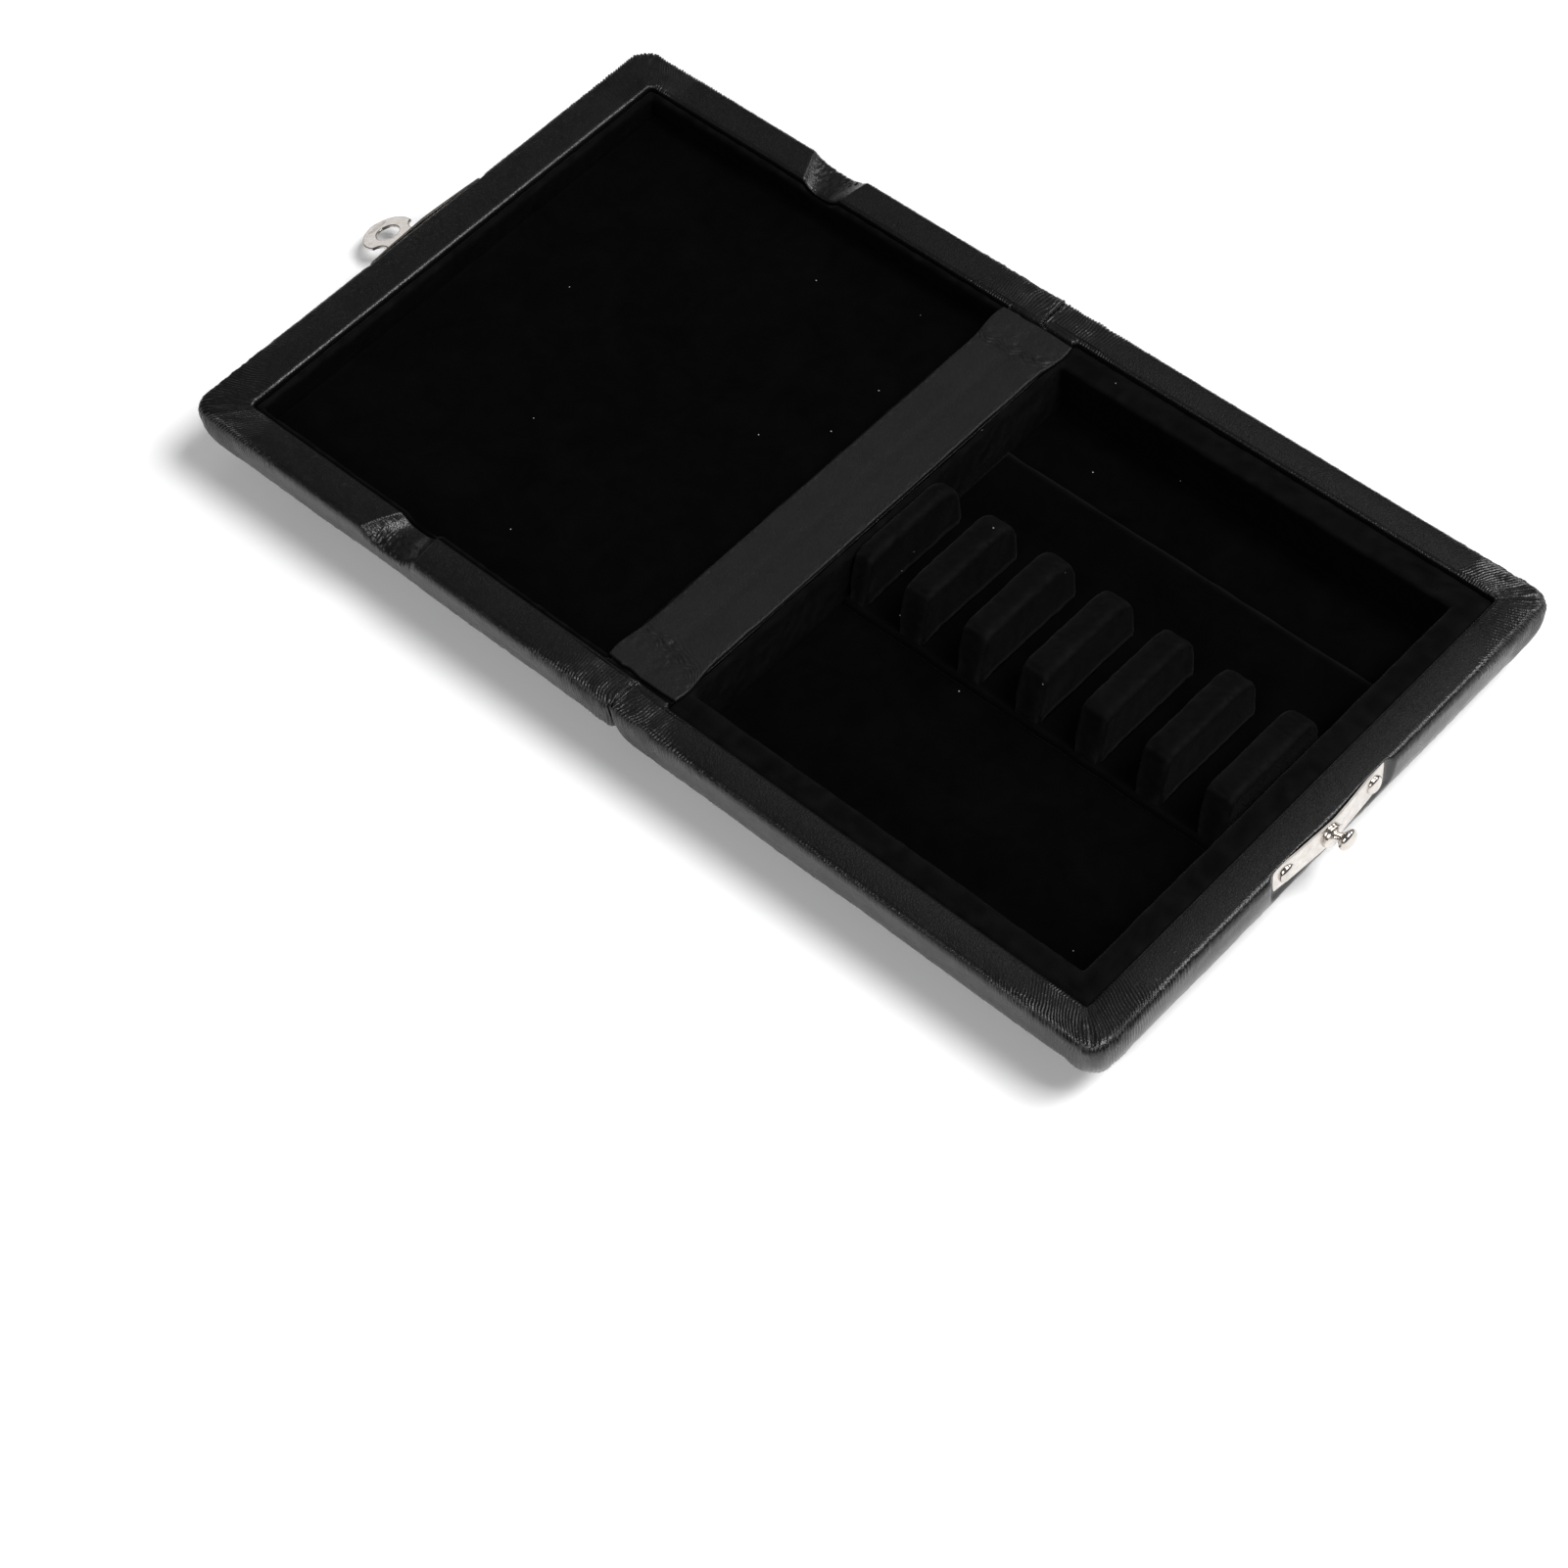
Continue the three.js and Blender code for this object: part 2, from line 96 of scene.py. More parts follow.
BED_LIMIT = 0.93  # the leather can't be pressed in past the board behind it
RIM_GAP = 0.25  # from the rim up to the plane where the halves meet
PLEAT_PITCH = 0.58
FRONT_X = WALL_GAP + DEPTH
MIDDLE_X = WALL_GAP + DEPTH / 2
HALF_WIDTH = WIDTH / 2
HINGE_X = -MIDDLE_X  # the hinge line in the frame's own X
RIM_Z = HEIGHT
PLATE_BACK = FRONT_X + 0.1


# ---------------------------------------------------------------- numbers and noise
def smooth_step(x, low, high):
    t = np.clip((np.asarray(x, float) - low) / (high - low), 0, 1)
    return t * t * (3 - 2 * t)


def bell(x, width):
    return np.exp(-((np.asarray(x, float) / width) ** 2))


def lattice(i, j, k, seed):
    n = (i * 73856093) ^ (j * 19349663) ^ (k * 83492791) ^ (seed * 668265263)
    n = n & 0xFFFFFFFF
    n = ((n ^ (n >> 13)) * 1274126177) & 0xFFFFFFFF
    n = ((n ^ (n >> 15)) * 2246822519) & 0xFFFFFFFF
    n = n ^ (n >> 16)
    return (n & 0xFFFF) / 32767.5 - 1


def noise(x, y, z, seed, wrap=0):
    """Smooth noise from about -1 to 1, one feature per unit. x repeats after "wrap" units."""
    x, y, z = np.broadcast_arrays(*(np.asarray(c, float) for c in (x, y, z)))
    cells, fades = [], []
    for c in (x, y, z):
        whole = np.floor(c).astype(np.int64)
        part = c - whole
        cells.append(whole)
        fades.append(part**3 * (part * (part * 6 - 15) + 10))
    total = np.zeros(x.shape)
    for a in (0, 1):
        i = cells[0] + a
        if wrap:
            i = np.mod(i, wrap)
        wx = fades[0] if a else 1 - fades[0]
        for b in (0, 1):
            wy = fades[1] if b else 1 - fades[1]
            for c in (0, 1):
                wz = fades[2] if c else 1 - fades[2]
                total += wx * wy * wz * lattice(i, cells[1] + b, cells[2] + c, seed)
    return total


# ---------------------------------------------------------------- meshes
def half_to_world(points, lid):
    p = np.array(points, float)
    if lid:
        p[..., 0] = HINGE_X - p[..., 0]
        p[..., 1] = -p[..., 1]
    else:
        p[..., 0] = HINGE_X + p[..., 0]
    return p


def make_piece(name, points, faces, material, worn_and_lit=None):
    """A mesh object from points in millimetres and a list of arrays of faces. The optional point values, from
    0 to 1, say how pale the material paints each point, for rubbed pile and for painted highlights."""
    points = np.asarray(points, float).reshape(-1, 3) / 1000
    mesh = bpy.data.meshes.new(name)
    sizes = np.concatenate([np.full(len(f), f.shape[1], np.int32) for f in faces])
    corners = np.concatenate([f.ravel() for f in faces]).astype(np.int32)
    mesh.vertices.add(len(points))
    mesh.vertices.foreach_set("co", points.astype(np.float32).ravel())
    mesh.loops.add(len(corners))
    mesh.loops.foreach_set("vertex_index", corners)
    mesh.polygons.add(len(sizes))
    starts = np.concatenate([[0], np.cumsum(sizes)[:-1]]).astype(np.int32)
    mesh.polygons.foreach_set("loop_start", starts)
    mesh.polygons.foreach_set("use_smooth", np.full(len(sizes), True))
    mesh.update(calc_edges=True)
    if worn_and_lit is not None:
        layer = mesh.attributes.new("worn_and_lit", "FLOAT", "POINT")
        layer.data.foreach_set("value", np.asarray(worn_and_lit, np.float32).ravel())
    mesh.materials.append(material)
    piece = bpy.data.objects.new(name, mesh)
    bpy.context.scene.collection.objects.link(piece)
    return piece


def grid_faces(rows, columns, wrap, start=0):
    r = np.arange(rows - 1)[:, None]
    c = np.arange(columns if wrap else columns - 1)[None, :]
    d = (c + 1) % columns
    a = start + r * columns
    b = a + columns
    quads = np.stack(np.broadcast_arrays(a + c, b + c, b + d, a + d), axis=-1)
    return quads.reshape(-1, 4)


def capped(points, hubs):
    """Points and faces of a wrapped grid, closed by triangles from its last row to the last hub.
    With two hubs, its first row is closed in the same way to the first hub."""
    rows, columns = points.shape[:2]
    count = rows * columns
    faces = [grid_faces(rows, columns, True)]
    first = np.arange(columns)
    if len(hubs) == 2:
        faces.append(np.stack([np.full(columns, count), first, np.roll(first, -1)], axis=-1))
    last = count - columns + first
    hub = np.full(columns, count + len(hubs) - 1)
    faces.append(np.stack([last, hub, np.roll(last, -1)], axis=-1))
    return np.concatenate([points.reshape(-1, 3), hubs]), faces


def slab_faces(rows, columns):
    """Faces of a slab whose points are an upper grid, and then a lower grid of the same size."""
    count = rows * columns
    grid = grid_faces(rows, columns, False)
    ids = np.arange(count).reshape(rows, columns)
    border = np.concatenate([ids[0, :-1], ids[:-1, -1], ids[-1, :0:-1], ids[:0:-1, 0]])
    following = np.roll(border, -1)
    walls = np.stack([border, border + count, following + count, following], axis=-1)
    return [grid[:, ::-1], grid + count, walls]


def stand_in(piece, body, slot, *cad_nodes):
    """Puts a piece on its body, in place of the CAD nodes that it shows in detail."""
    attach(piece, body)
    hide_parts(*cad_nodes)


def grid_normals(points, wrap):
    down = np.gradient(points, axis=0)
    if wrap:
        along = (np.roll(points, -1, axis=1) - np.roll(points, 1, axis=1)) / 2
    else:
        along = np.gradient(points, axis=1)
    n = np.cross(down, along)
    return n / np.maximum(np.linalg.norm(n, axis=-1, keepdims=True), 1e-9)


# ---------------------------------------------------------------- the outline of a half
def side_shares(length, notched):
    """Places along a side as shares of its length: close together near corners and notches."""
    place = np.linspace(0, length, 4000)
    away = np.minimum(place, length - place)
    step = 0.115 + 0.225 * smooth_step(away, 12, 22)
    if notched:
        step = np.minimum(step, 0.17 + 0.17 * smooth_step(np.abs(place - length / 2), 7.5, 10))
    passed = np.concatenate([[0], np.cumsum(np.diff(place) / step[1:])])
    count = int(round(passed[-1]))
    return np.interp(np.arange(count) * passed[-1] / count, passed, place) / length


def even_shares(length, spacing):
    count = int(length / spacing)
    return np.arange(count) / count


def column_plan(corner_columns, spacing=None):
    """Columns round an outline: corner columns share one corner and turn, side columns run between
    two corners. Without a spacing they bunch up where the leather is pleated."""
    first, second, share, angle = [], [], [], []
    lengths = [DEPTH - 2 * PLAN_CORNER, WIDTH - 2 * PLAN_CORNER] * 2
    for k in range(4):
        for step in range(corner_columns):
            first.append(k)
            second.append(k)
            share.append(0.0)
            angle.append((k + step / corner_columns) * math.pi / 2)
        if spacing:
            shares = even_shares(lengths[k], spacing)
        else:
            shares = side_shares(lengths[k], k in (0, 2))
        for t in shares:
            first.append(k)
            second.append((k + 1) % 4)
            share.append(t)
            angle.append((k + 1) * math.pi / 2)
    return {
        "first": np.array(first),
        "second": np.array(second),
        "share": np.array(share),
        "angle": np.array(angle),
    }


def rectangle_ring(plan, x0, x1, half_y, radius):
    r = np.broadcast_to(np.asarray(radius, float), (4,))
    xs = np.array([x1, x0, x0, x1]) + np.array([-1, 1, 1, -1]) * r
    ys = np.array([1, 1, -1, -1]) * (half_y - r)
    a, b, t = plan["first"], plan["second"], plan["share"]
    turned_x, turned_y = np.cos(plan["angle"]), np.sin(plan["angle"])
    x = (xs[a] + r[a] * turned_x) * (1 - t) + (xs[b] + r[b] * turned_x) * t
    y = (ys[a] + r[a] * turned_y) * (1 - t) + (ys[b] + r[b] * turned_y) * t
    return np.stack([x, y], axis=-1)


def outline_ring(plan, inset, corners, hinge_share=1.0):
    share = min(inset / ROUND_IN, 1)
    radius = np.array(corners) * (1 - share) + ROUNDED_CORNER * share
    radius = radius + 0.15 * max(inset - ROUND_IN, 0)
    x0 = HINGE_FACE + inset * hinge_share
    return rectangle_ring(plan, x0, FRONT_X - inset, HALF_WIDTH - inset, radius)


def opening_ring(plan, band, grow, radius):
    """A ring "grow" millimetres outside the opening of a rim."""
    x0, x1 = WALL_GAP + band["hinge"] - grow, FRONT_X - band["front"] + grow
    return rectangle_ring(plan, x0, x1, HALF_WIDTH - band["side"] + grow, radius)


def corner_distance(ring):
    """Distance along the outline to the nearest corner, and that corner's side: hinge or front."""
    dx = np.minimum(ring[:, 0] - WALL_GAP, FRONT_X - ring[:, 0])
    dy = HALF_WIDTH - np.abs(ring[:, 1])
    near_hinge = ring[:, 0] < MIDDLE_X
    return np.maximum(dx, dy), near_hinge


# ---------------------------------------------------------------- materials
def new_material(name):
    material = bpy.data.materials.new(name)
    material.use_nodes = True
    tree = material.node_tree
    return material, tree, tree.nodes["Principled BSDF"]


def feed(tree, made, inputs):
    """Gives a node's inputs their values, or links the sockets that feed them."""
    for key, value in inputs.items():
        if isinstance(value, bpy.types.NodeSocket):
            tree.links.new(value, made.inputs[key])
        else:
            made.inputs[key].default_value = value


def node(tree, kind, inputs, **settings):
    """Adds a node, sets it up, and returns its outputs."""
    made = tree.nodes.new(kind)
    for key, value in settings.items():
        setattr(made, key, value)
    feed(tree, made, inputs)
    return made.outputs


def maths(tree, operation, a, b, clamp=False):
    return node(tree, "ShaderNodeMath", {0: a, 1: b}, operation=operation, use_clamp=clamp)[0]


def weighted(tree, a, share_a, b, share_b):
    """The sum of a and b, each times its own share."""
    return maths(tree, "ADD", maths(tree, "MULTIPLY", a, share_a), maths(tree, "MULTIPLY", b, share_b))


def mix(tree, factor, a, b):
    inputs = {"Factor": factor, "A": a, "B": b}
    return node(tree, "ShaderNodeMix", inputs, data_type="RGBA")["Result"]


def ramp(tree, factor, stops):
    """A colour between two stops, each a place and a colour."""
    made = tree.nodes.new("ShaderNodeValToRGB")
    for element, (place, value) in zip(made.color_ramp.elements, stops):
        element.position = place
        element.color = (*value, 1)
    feed(tree, made, {"Fac": factor})
    return made.outputs["Color"]


def grey(value):
    return (value, value, value)


PER_MILLIMETRE = (1000, 1000, 1000)


def scaled_place(tree, scale):
    """Object coordinates times a scale, so that textures are sized in millimetres."""
    place = node(tree, "ShaderNodeTexCoord", {})["Object"]
    return node(tree, "ShaderNodeMapping", {"Scale": scale, "Vector": place})["Vector"]


def noise_texture(tree, vector, scale, detail, roughness, distortion=0.0):
    inputs = {"Vector": vector, "Scale": scale, "Detail": detail, "Roughness": roughness}
    inputs["Distortion"] = distortion
    return node(tree, "ShaderNodeTexNoise", inputs)["Fac"]


def add_bump(tree, shader, height, strength, depth_mm):
    inputs = {"Strength": strength, "Distance": depth_mm / 1000, "Height": height}
    feed(tree, shader, {"Normal": node(tree, "ShaderNodeBump", inputs)["Normal"]})


def leather_material(name, dark, light, rough, grain_mm, grain_depth, specular):
    """Pebbled leather: cells of grain with creases between them, over fine pores."""
    material, tree, shader = new_material(name)
    vector = scaled_place(tree, (1000, 1150, 1000))
    warp = node(tree, "ShaderNodeTexNoise", {"Vector": vector, "Scale": 0.9, "Detail": 2.0})
    inputs = {"Vector": warp["Color"], "Scale": 0.8}
    shift = node(tree, "ShaderNodeVectorMath", inputs, operation="SCALE")
    inputs = {0: vector, 1: shift["Vector"]}
    moved = node(tree, "ShaderNodeVectorMath", inputs, operation="ADD")
    inputs = {"Vector": moved["Vector"], "Scale": 1 / grain_mm}
    cells = node(tree, "ShaderNodeTexVoronoi", inputs, feature="DISTANCE_TO_EDGE")
    crowns = maths(tree, "MULTIPLY", cells["Distance"], 3.2, clamp=True)
    pores = noise_texture(tree, vector, 3.5, 4.0, 0.65)
    swells = noise_texture(tree, vector, 0.12, 3.0, 0.5)
    height = weighted(tree, crowns, 0.7, pores, 0.5)
    height = maths(tree, "ADD", height, maths(tree, "MULTIPLY", swells, 0.8))
    add_bump(tree, shader, height, 1.0, grain_depth)
    blotch = noise_texture(tree, vector, 0.05, 4.0, 0.6)
    colour = ramp(tree, weighted(tree, blotch, 0.5, crowns, 0.5), [(0.25, dark), (0.8, light)])
    gloss = maths(tree, "MULTIPLY", noise_texture(tree, vector, 0.22, 4.0, 0.6), 0.22)
    gloss = maths(tree, "ADD", gloss, rough - 0.11)
    feed(tree, shader, {"Base Color": colour, "Roughness": gloss, "Specular IOR Level": specular})
    return material


def velvet_material(name):
    """Short black pile: brushed patches, paler where the pile is rubbed and where highlights are painted on
    its ridges and edges, and a few specks of lint.
    """
    material, tree, shader = new_material(name)
    vector = scaled_place(tree, PER_MILLIMETRE)
    brushed = noise_texture(tree, vector, 0.14, 4.0, 0.6, 0.6)
    pile = noise_texture(tree, vector, 5.5, 3.0, 0.7)
    tone = weighted(tree, brushed, 0.6, pile, 0.4)
    colour = ramp(tree, tone, [(0.3, grey(0.0008)), (0.7, grey(0.0019))])
    # The point attribute read here marks rubbed pile and painted highlights on ridges, lips and edges; the
    # pile is mixed towards pale grey there.
    worn_and_lit = node(tree, "ShaderNodeAttribute", {}, attribute_name="worn_and_lit")["Fac"]
    rubbed_and_lit_share = maths(tree, "MULTIPLY", worn_and_lit, maths(tree, "ADD", tone, 0.5), clamp=True)
    colour = mix(tree, rubbed_and_lit_share, colour, (0.0100, 0.0098, 0.0102, 1))
    dots = node(tree, "ShaderNodeTexVoronoi", {"Vector": vector, "Scale": 0.2}, feature="F1")
    near = maths(tree, "LESS_THAN", dots["Distance"], 0.024)
    kept = node(tree, "ShaderNodeSeparateColor", {"Color": dots["Color"]})
    some = maths(tree, "GREATER_THAN", kept["Red"], 0.45)
    colour = mix(tree, maths(tree, "MULTIPLY", near, some), colour, (0.30, 0.28, 0.26, 1))
    height = maths(tree, "ADD", pile, maths(tree, "MULTIPLY", brushed, 1.5))
    add_bump(tree, shader, height, 0.8, 0.12)
    inputs = {"Base Color": colour, "Roughness": 0.95, "Specular IOR Level": 0.0}
    inputs |= {"Sheen Weight": 0.03, "Sheen Roughness": 0.35, "Sheen Tint": (0.6, 0.6, 0.62, 1)}
    feed(tree, shader, inputs)
    return material


def nickel_material(name):
    """Bright nickel plate with fine rubbing marks and slightly dull patches."""
    material, tree, shader = new_material(name)
    vector = scaled_place(tree, PER_MILLIMETRE)
    streaks = noise_texture(tree, scaled_place(tree, (2500, 300, 2500)), 1.6, 3.0, 0.6)
    dull = noise_texture(tree, vector, 0.8, 3.0, 0.6)
    colour = ramp(tree, dull, [(0.3, (0.50, 0.465, 0.435)), (0.75, (0.70, 0.66, 0.625))])
    rough = maths(tree, "ADD", maths(tree, "MULTIPLY", dull, 0.16), 0.1)
    height = maths(tree, "ADD", streaks, maths(tree, "MULTIPLY", dull, 1.4))
    add_bump(tree, shader, height, 0.25, 0.03)
    feed(tree, shader, {"Base Color": colour, "Roughness": rough, "Metallic": 1.0})
    return material


def plain_material(name, low, high, scale, rough):
    """A dull material that drifts between two colours."""
    material, tree, shader = new_material(name)
    tone = noise_texture(tree, scaled_place(tree, PER_MILLIMETRE), scale, 4.0, 0.6)
    add_bump(tree, shader, tone, 0.4, 0.2)
    colour = ramp(tree, tone, [(0.3, low), (0.7, high)])
    feed(tree, shader, {"Base Color": colour, "Roughness": rough})
    return material


leather = leather_material("case_leather", grey(0.0014), grey(0.0030), 0.31, 0.5, 0.030, 0.40)
strip_leather = leather_material("strip_leather", grey(0.0042), grey(0.0064), 0.5, 0.34, 0.03, 0.25)
velvet = velvet_material("black_velvet")
nickel = nickel_material("nickel_plate")
board = plain_material("card_board", (0.26, 0.17, 0.09), (0.36, 0.25, 0.14), 1.2, 0.85)
foam = plain_material("foam", (0.60, 0.57, 0.48), (0.72, 0.68, 0.58), 2.0, 0.95)

# ---------------------------------------------------------------- the leather shells
PLAN = column_plan(corner_columns=24)
OUTER = outline_ring(PLAN, 0, BASE_CORNERS)
COLUMN_STEP = np.linalg.norm(np.roll(OUTER, -1, axis=0) - OUTER, axis=1)
AROUND = np.concatenate([[0], np.cumsum(COLUMN_STEP)[:-1]])
GIRTH = COLUMN_STEP.sum()
CORNER_AWAY, NEAR_HINGE = corner_distance(OUTER)


def shell_rings(crown, band, corners):
    """Rings of points from the turned-in flange over the rim and down to the middle of the outside.
    Returns the points and each row's distance from the rim's outer edge, negative on the rim."""
    rings, reach = [], []

    def add(ring, drop, distance):
        z = np.full(len(ring), RIM_Z) - drop
        rings.append(np.column_stack([ring, z]))
        reach.append(distance)

    edge = 0.7
    width = band["side"]
    for drop in np.linspace(FLANGE_DROP, edge + 0.35, 6):
        add(opening_ring(PLAN, band, 0, 0.9), drop, -width - drop)
    for turn in np.linspace(0, math.pi / 2, 6)[:-1]:
        grow = edge * (1 - math.cos(turn))
        add(opening_ring(PLAN, band, grow, 0.9 + grow), edge * (1 - math.sin(turn)), -width)
    # Over the rim, the hinge side runs out to the hinge first, so that the rows beyond it meet the
    # hinge squarely, and then the other three sides run out to their edges.
    inner = np.array([WALL_GAP + band["hinge"], FRONT_X - band["front"], HALF_WIDTH - width])
    inner += np.array([-edge, edge, edge])
    outer = np.array([HINGE_FACE + EDGE_IN * HINGE_EDGE, FRONT_X - EDGE_IN, HALF_WIDTH - EDGE_IN])
    share_in = EDGE_IN / ROUND_IN
    radii = np.array(corners) * (1 - share_in) + ROUNDED_CORNER * share_in
    shares = [(k / 6, 0.006 * k) for k in range(6)]
    shares += [(1, 0.036 + 0.964 * k / 29) for k in range(30)]
    for hinge_share, share in shares:
        x0 = inner[0] * (1 - hinge_share) + outer[0] * hinge_share
        x1, half_y = inner[1:] * (1 - share) + outer[1:] * share
        ring = rectangle_ring(PLAN, x0, x1, half_y, (0.9 + edge) * (1 - share) + radii * share)
        add(ring, -0.10 * math.sin(math.pi * share), -(width - edge) * (1 - share) - EDGE_IN)
    for turn in np.linspace(0, math.pi / 2, 9)[1:]:
        inset = EDGE_IN * (1 - math.sin(turn))
        ring = outline_ring(PLAN, inset, corners, HINGE_EDGE)
        add(ring, WALL_TOP * (1 - math.cos(turn)), -EDGE_IN + 2.2 * turn / 1.57)
    rise = HEIGHT - WALL_TOP - crown
    distance, last = 1.1, (0.0, WALL_TOP)
    for turn in (np.linspace(0, 1, 44) ** 1.12)[1:] * math.pi / 2:
        inset = ROUND_IN * (1 - max(math.cos(turn), 0) ** (2 / ROUND_POWER))
        drop = WALL_TOP + rise * math.sin(turn) ** (2 / ROUND_POWER)
        drop += crown * (1 - (1 - 2 * inset / DEPTH) ** 2)
        distance += math.hypot(inset - last[0], drop - last[1])
        last = (inset, drop)
        add(outline_ring(PLAN, inset, corners), drop, distance)
    for inset in np.arange(ROUND_IN + 1, PATCH_IN + 1, 1.0):
        drop = HEIGHT - crown * (1 - 2 * inset / DEPTH) ** 2
        distance += 1.0
        add(outline_ring(PLAN, inset, corners), drop, distance)
    ring, middle = outline_ring(PLAN, PATCH_IN, corners), np.array([MIDDLE_X, 0.0])
    for share in (0.84, 0.68, 0.52, 0.38, 0.26, 0.16, 0.08, 0.03):
        drop = HEIGHT - crown * (1 - 2 * PATCH_IN / DEPTH) ** 2 * share**2
        distance += 2.0
        add(middle + (ring - middle) * share, drop, distance)
    return np.array(rings), np.array(reach)


def notch_depth(x, y, band):
    """How deep the finger notch is. It flares outwards and has a steep end away from the hinge."""
    across = np.clip((np.abs(y) - (HALF_WIDTH - band["side"])) / band["side"], 0, 1)
    half_length = NOTCH_INNER + (NOTCH_OUTER - NOTCH_INNER) * across
    along = (x - MIDDLE_X - NOTCH_SKEW * across) / half_length
    steep = np.clip(1 - np.abs(along) ** 2.8, 0, 1)
    gentle = np.clip(1 - np.abs(along) ** 2.4, 0, 1)
    return NOTCH_DEEP * np.where(along > 0, steep, gentle)


def press_notch(points, band):
    """Presses the two side rims down into the finger notches."""
    side = np.abs(points[..., 1]) > HALF_WIDTH - band["side"] - 0.2
    depth = notch_depth(points[..., 0], points[..., 1], band) * side
    drop = RIM_Z - points[..., 2]
    inside = np.abs(points[..., 1]) < HALF_WIDTH - band["side"] + 0.5
    room = np.where(inside, FLANGE_DROP, 6.0)
    share = np.clip(1 - drop / room, 0, 1)
    points[..., 2] -= depth * share
    return depth


def ease_hinge_edge(points):
    """Makes the rim's rounding shallower along the hinge, where the halves' rims run on as one."""
    drop = RIM_Z - points[..., 2]
    beside = 1 - smooth_step(points[..., 0], 0.3, 1.4)
    points[..., 2] += 0.55 * beside * np.maximum(drop, 0) * (1 - smooth_step(drop, 1.0, 3.0))


def plate_press(y, lid):
    """How far the catch's plate is pressed into the wall: its ends more than its middle."""
    middle, ends = (0.3, 0.95) if lid else (0.45, 1.3)
    return middle + (ends - middle) * np.minimum(np.abs(y) / 11.0, 1.15) ** 1.15


def bed_for_plate(points, lid):
    """Presses the front wall in behind the catch's plate, and a little way round it."""
    y, drop = points[..., 1], RIM_Z + RIM_GAP - points[..., 2]
    past_y = np.maximum(np.abs(y) - PLATE_LONG / 2, 0)
    past_z = np.maximum(np.maximum(PLATE_EDGE - drop, drop - PLATE_EDGE - PLATE_HIGH), 0)
    past = np.hypot(past_y, past_z)
    bed = np.minimum(plate_press(y, lid), BED_LIMIT)
    limit = FRONT_X + 0.03 - bed + 1.5 * smooth_step(past, 0.1, 2.6)
    front = (points[..., 0] > FRONT_X - 2.5) & (past < 2.6)
    points[..., 0] = np.where(front, np.minimum(points[..., 0], limit), points[..., 0])


def step_for_strip(points, band):
    """Lowers the hinge side of the rim where the hinge strip lies on it."""
    ends = 1 - smooth_step(np.abs(points[..., 1]), STRIP_HALF_LENGTH + 0.2, STRIP_HALF_LENGTH + 1.0)
    side = 1 - smooth_step(points[..., 0], WALL_GAP + band["hinge"] + 0.1, WALL_GAP + band["hinge"] + 0.4)
    floor_z = RIM_Z - (STRIP_STEP + 0.12) * ends * side
    points[..., 2] = np.minimum(points[..., 2], np.where(ends * side > 0, floor_z, 99))


def around(pitch, across, seed):
    """Smooth noise round the outline, "pitch" millimetres a feature along it."""
    count = int(GIRTH / pitch)
    return noise(AROUND[None, :] / GIRTH * count, across, 0, seed, count)


def leather_folds(points, reach, crown, band, seed):
    """How far each point of a shell stands out from its smooth shape, in millimetres."""
    v = reach[:, None]
    away = CORNER_AWAY[None, :]
    hinge = NEAR_HINGE[None, :]
    x, y, z = points[..., 0], points[..., 1], points[..., 2]
    on_rim = smooth_step(-v, -0.6, 0.8)
    # Pleats of gathered leather run over the rim and down the wall beside each corner.
    pleat_count = int(GIRTH / PLEAT_PITCH)
    phase = AROUND[None, :] / GIRTH * pleat_count + 0.7 * around(5.0, v / 3.0, seed)
    pleat = np.abs(np.sin(math.pi * phase)) - 0.62
    strength = np.clip(0.9 + 0.5 * around(1.4, v / 2.0, seed + 1), 0.4, 1.4)
    inwards = np.maximum(-v - EDGE_IN, 0)
    rim_end = np.where(hinge, 11.5, 12.5) + 2.0 * around(3.5, v / 9, seed + 7)
    rim_reach = 1 - smooth_step(away + 0.45 * inwards, rim_end - 3.5, rim_end + 1.5)
    rim = np.where(hinge, 0.09, 0.145) * on_rim * rim_reach * pleat * strength
    # The leather puckers where it is drawn over the outer edge, for further along the side.
    pucker = around(0.5, v / 0.9, seed + 5)
    edge_reach = 0.42 + 0.58 * (1 - smooth_step(away, 13, 28))
    edge = bell(v - 0.4, 1.5) * edge_reach * (0.18 * pleat * strength + 0.08 * pucker)
    # The pleats go on down the wall, spread out and die away.
    wall_reach = 1 - smooth_step(away + 0.4 * np.maximum(v, 0), 7, 15)
    coarse = around(1.9, v / 6, seed + 2)
    wall = (1 - on_rim) * bell(np.maximum(v, 0), 9.0) * wall_reach * (0.16 * pleat * strength + 0.12 * coarse)
    # Pinched folds where the leather is gathered over a corner of the outside.
    fold = around(2.6, v / 9, seed + 3)
    pinch = bell(away - 2.0, 5.5) * bell(v - 13.0, 6.5) * smooth_step(v, 1.5, 6.0)
    wall += pinch * (0.30 * fold + 0.10 * coarse)
    # A seam from the corner of the opening to the corner of the outline, between the two sides' pleats.
    from_front, from_side = FRONT_X - x, HALF_WIDTH - np.abs(y)
    seam = np.abs(from_front / band["front"] - from_side / band["side"]) * 4.0
    beside_seam = on_rim * (away < 9) * ~hinge
    rim -= beside_seam * (0.13 * bell(seam, 0.45) - 0.07 * bell(seam, 1.6) * pucker)
    # The crumpled end of the rim at the hinge.
    crumple = hinge * bell(x - 0.3, 1.1) * smooth_step(np.abs(y), 44, 46)
    rim += crumple * (0.05 * noise(x / 0.35, y / 0.4, z / 0.5, seed + 8) - 0.02)
    # Slack leather everywhere else: long soft waves, and short ones along the shoulder.
    soft = 0.16 * noise(x / 17, y / 21, z / 9, seed + 9) + 0.05 * noise(x / 6, y / 7, z / 5, seed + 4)
    calm = smooth_step(v, 0.5, 4.0)
    wrinkle = bell(v - 7.5, 1.7) * (0.06 * around(1.1, v / 2.0, seed + 6) - 0.06)
    flat = smooth_step(v, 16.0, 22.0)
    limit = 1 - flat * (0.35 if crown else 1.0)
    return rim + wall + (soft * calm + wrinkle * (1 - flat)) * limit + edge


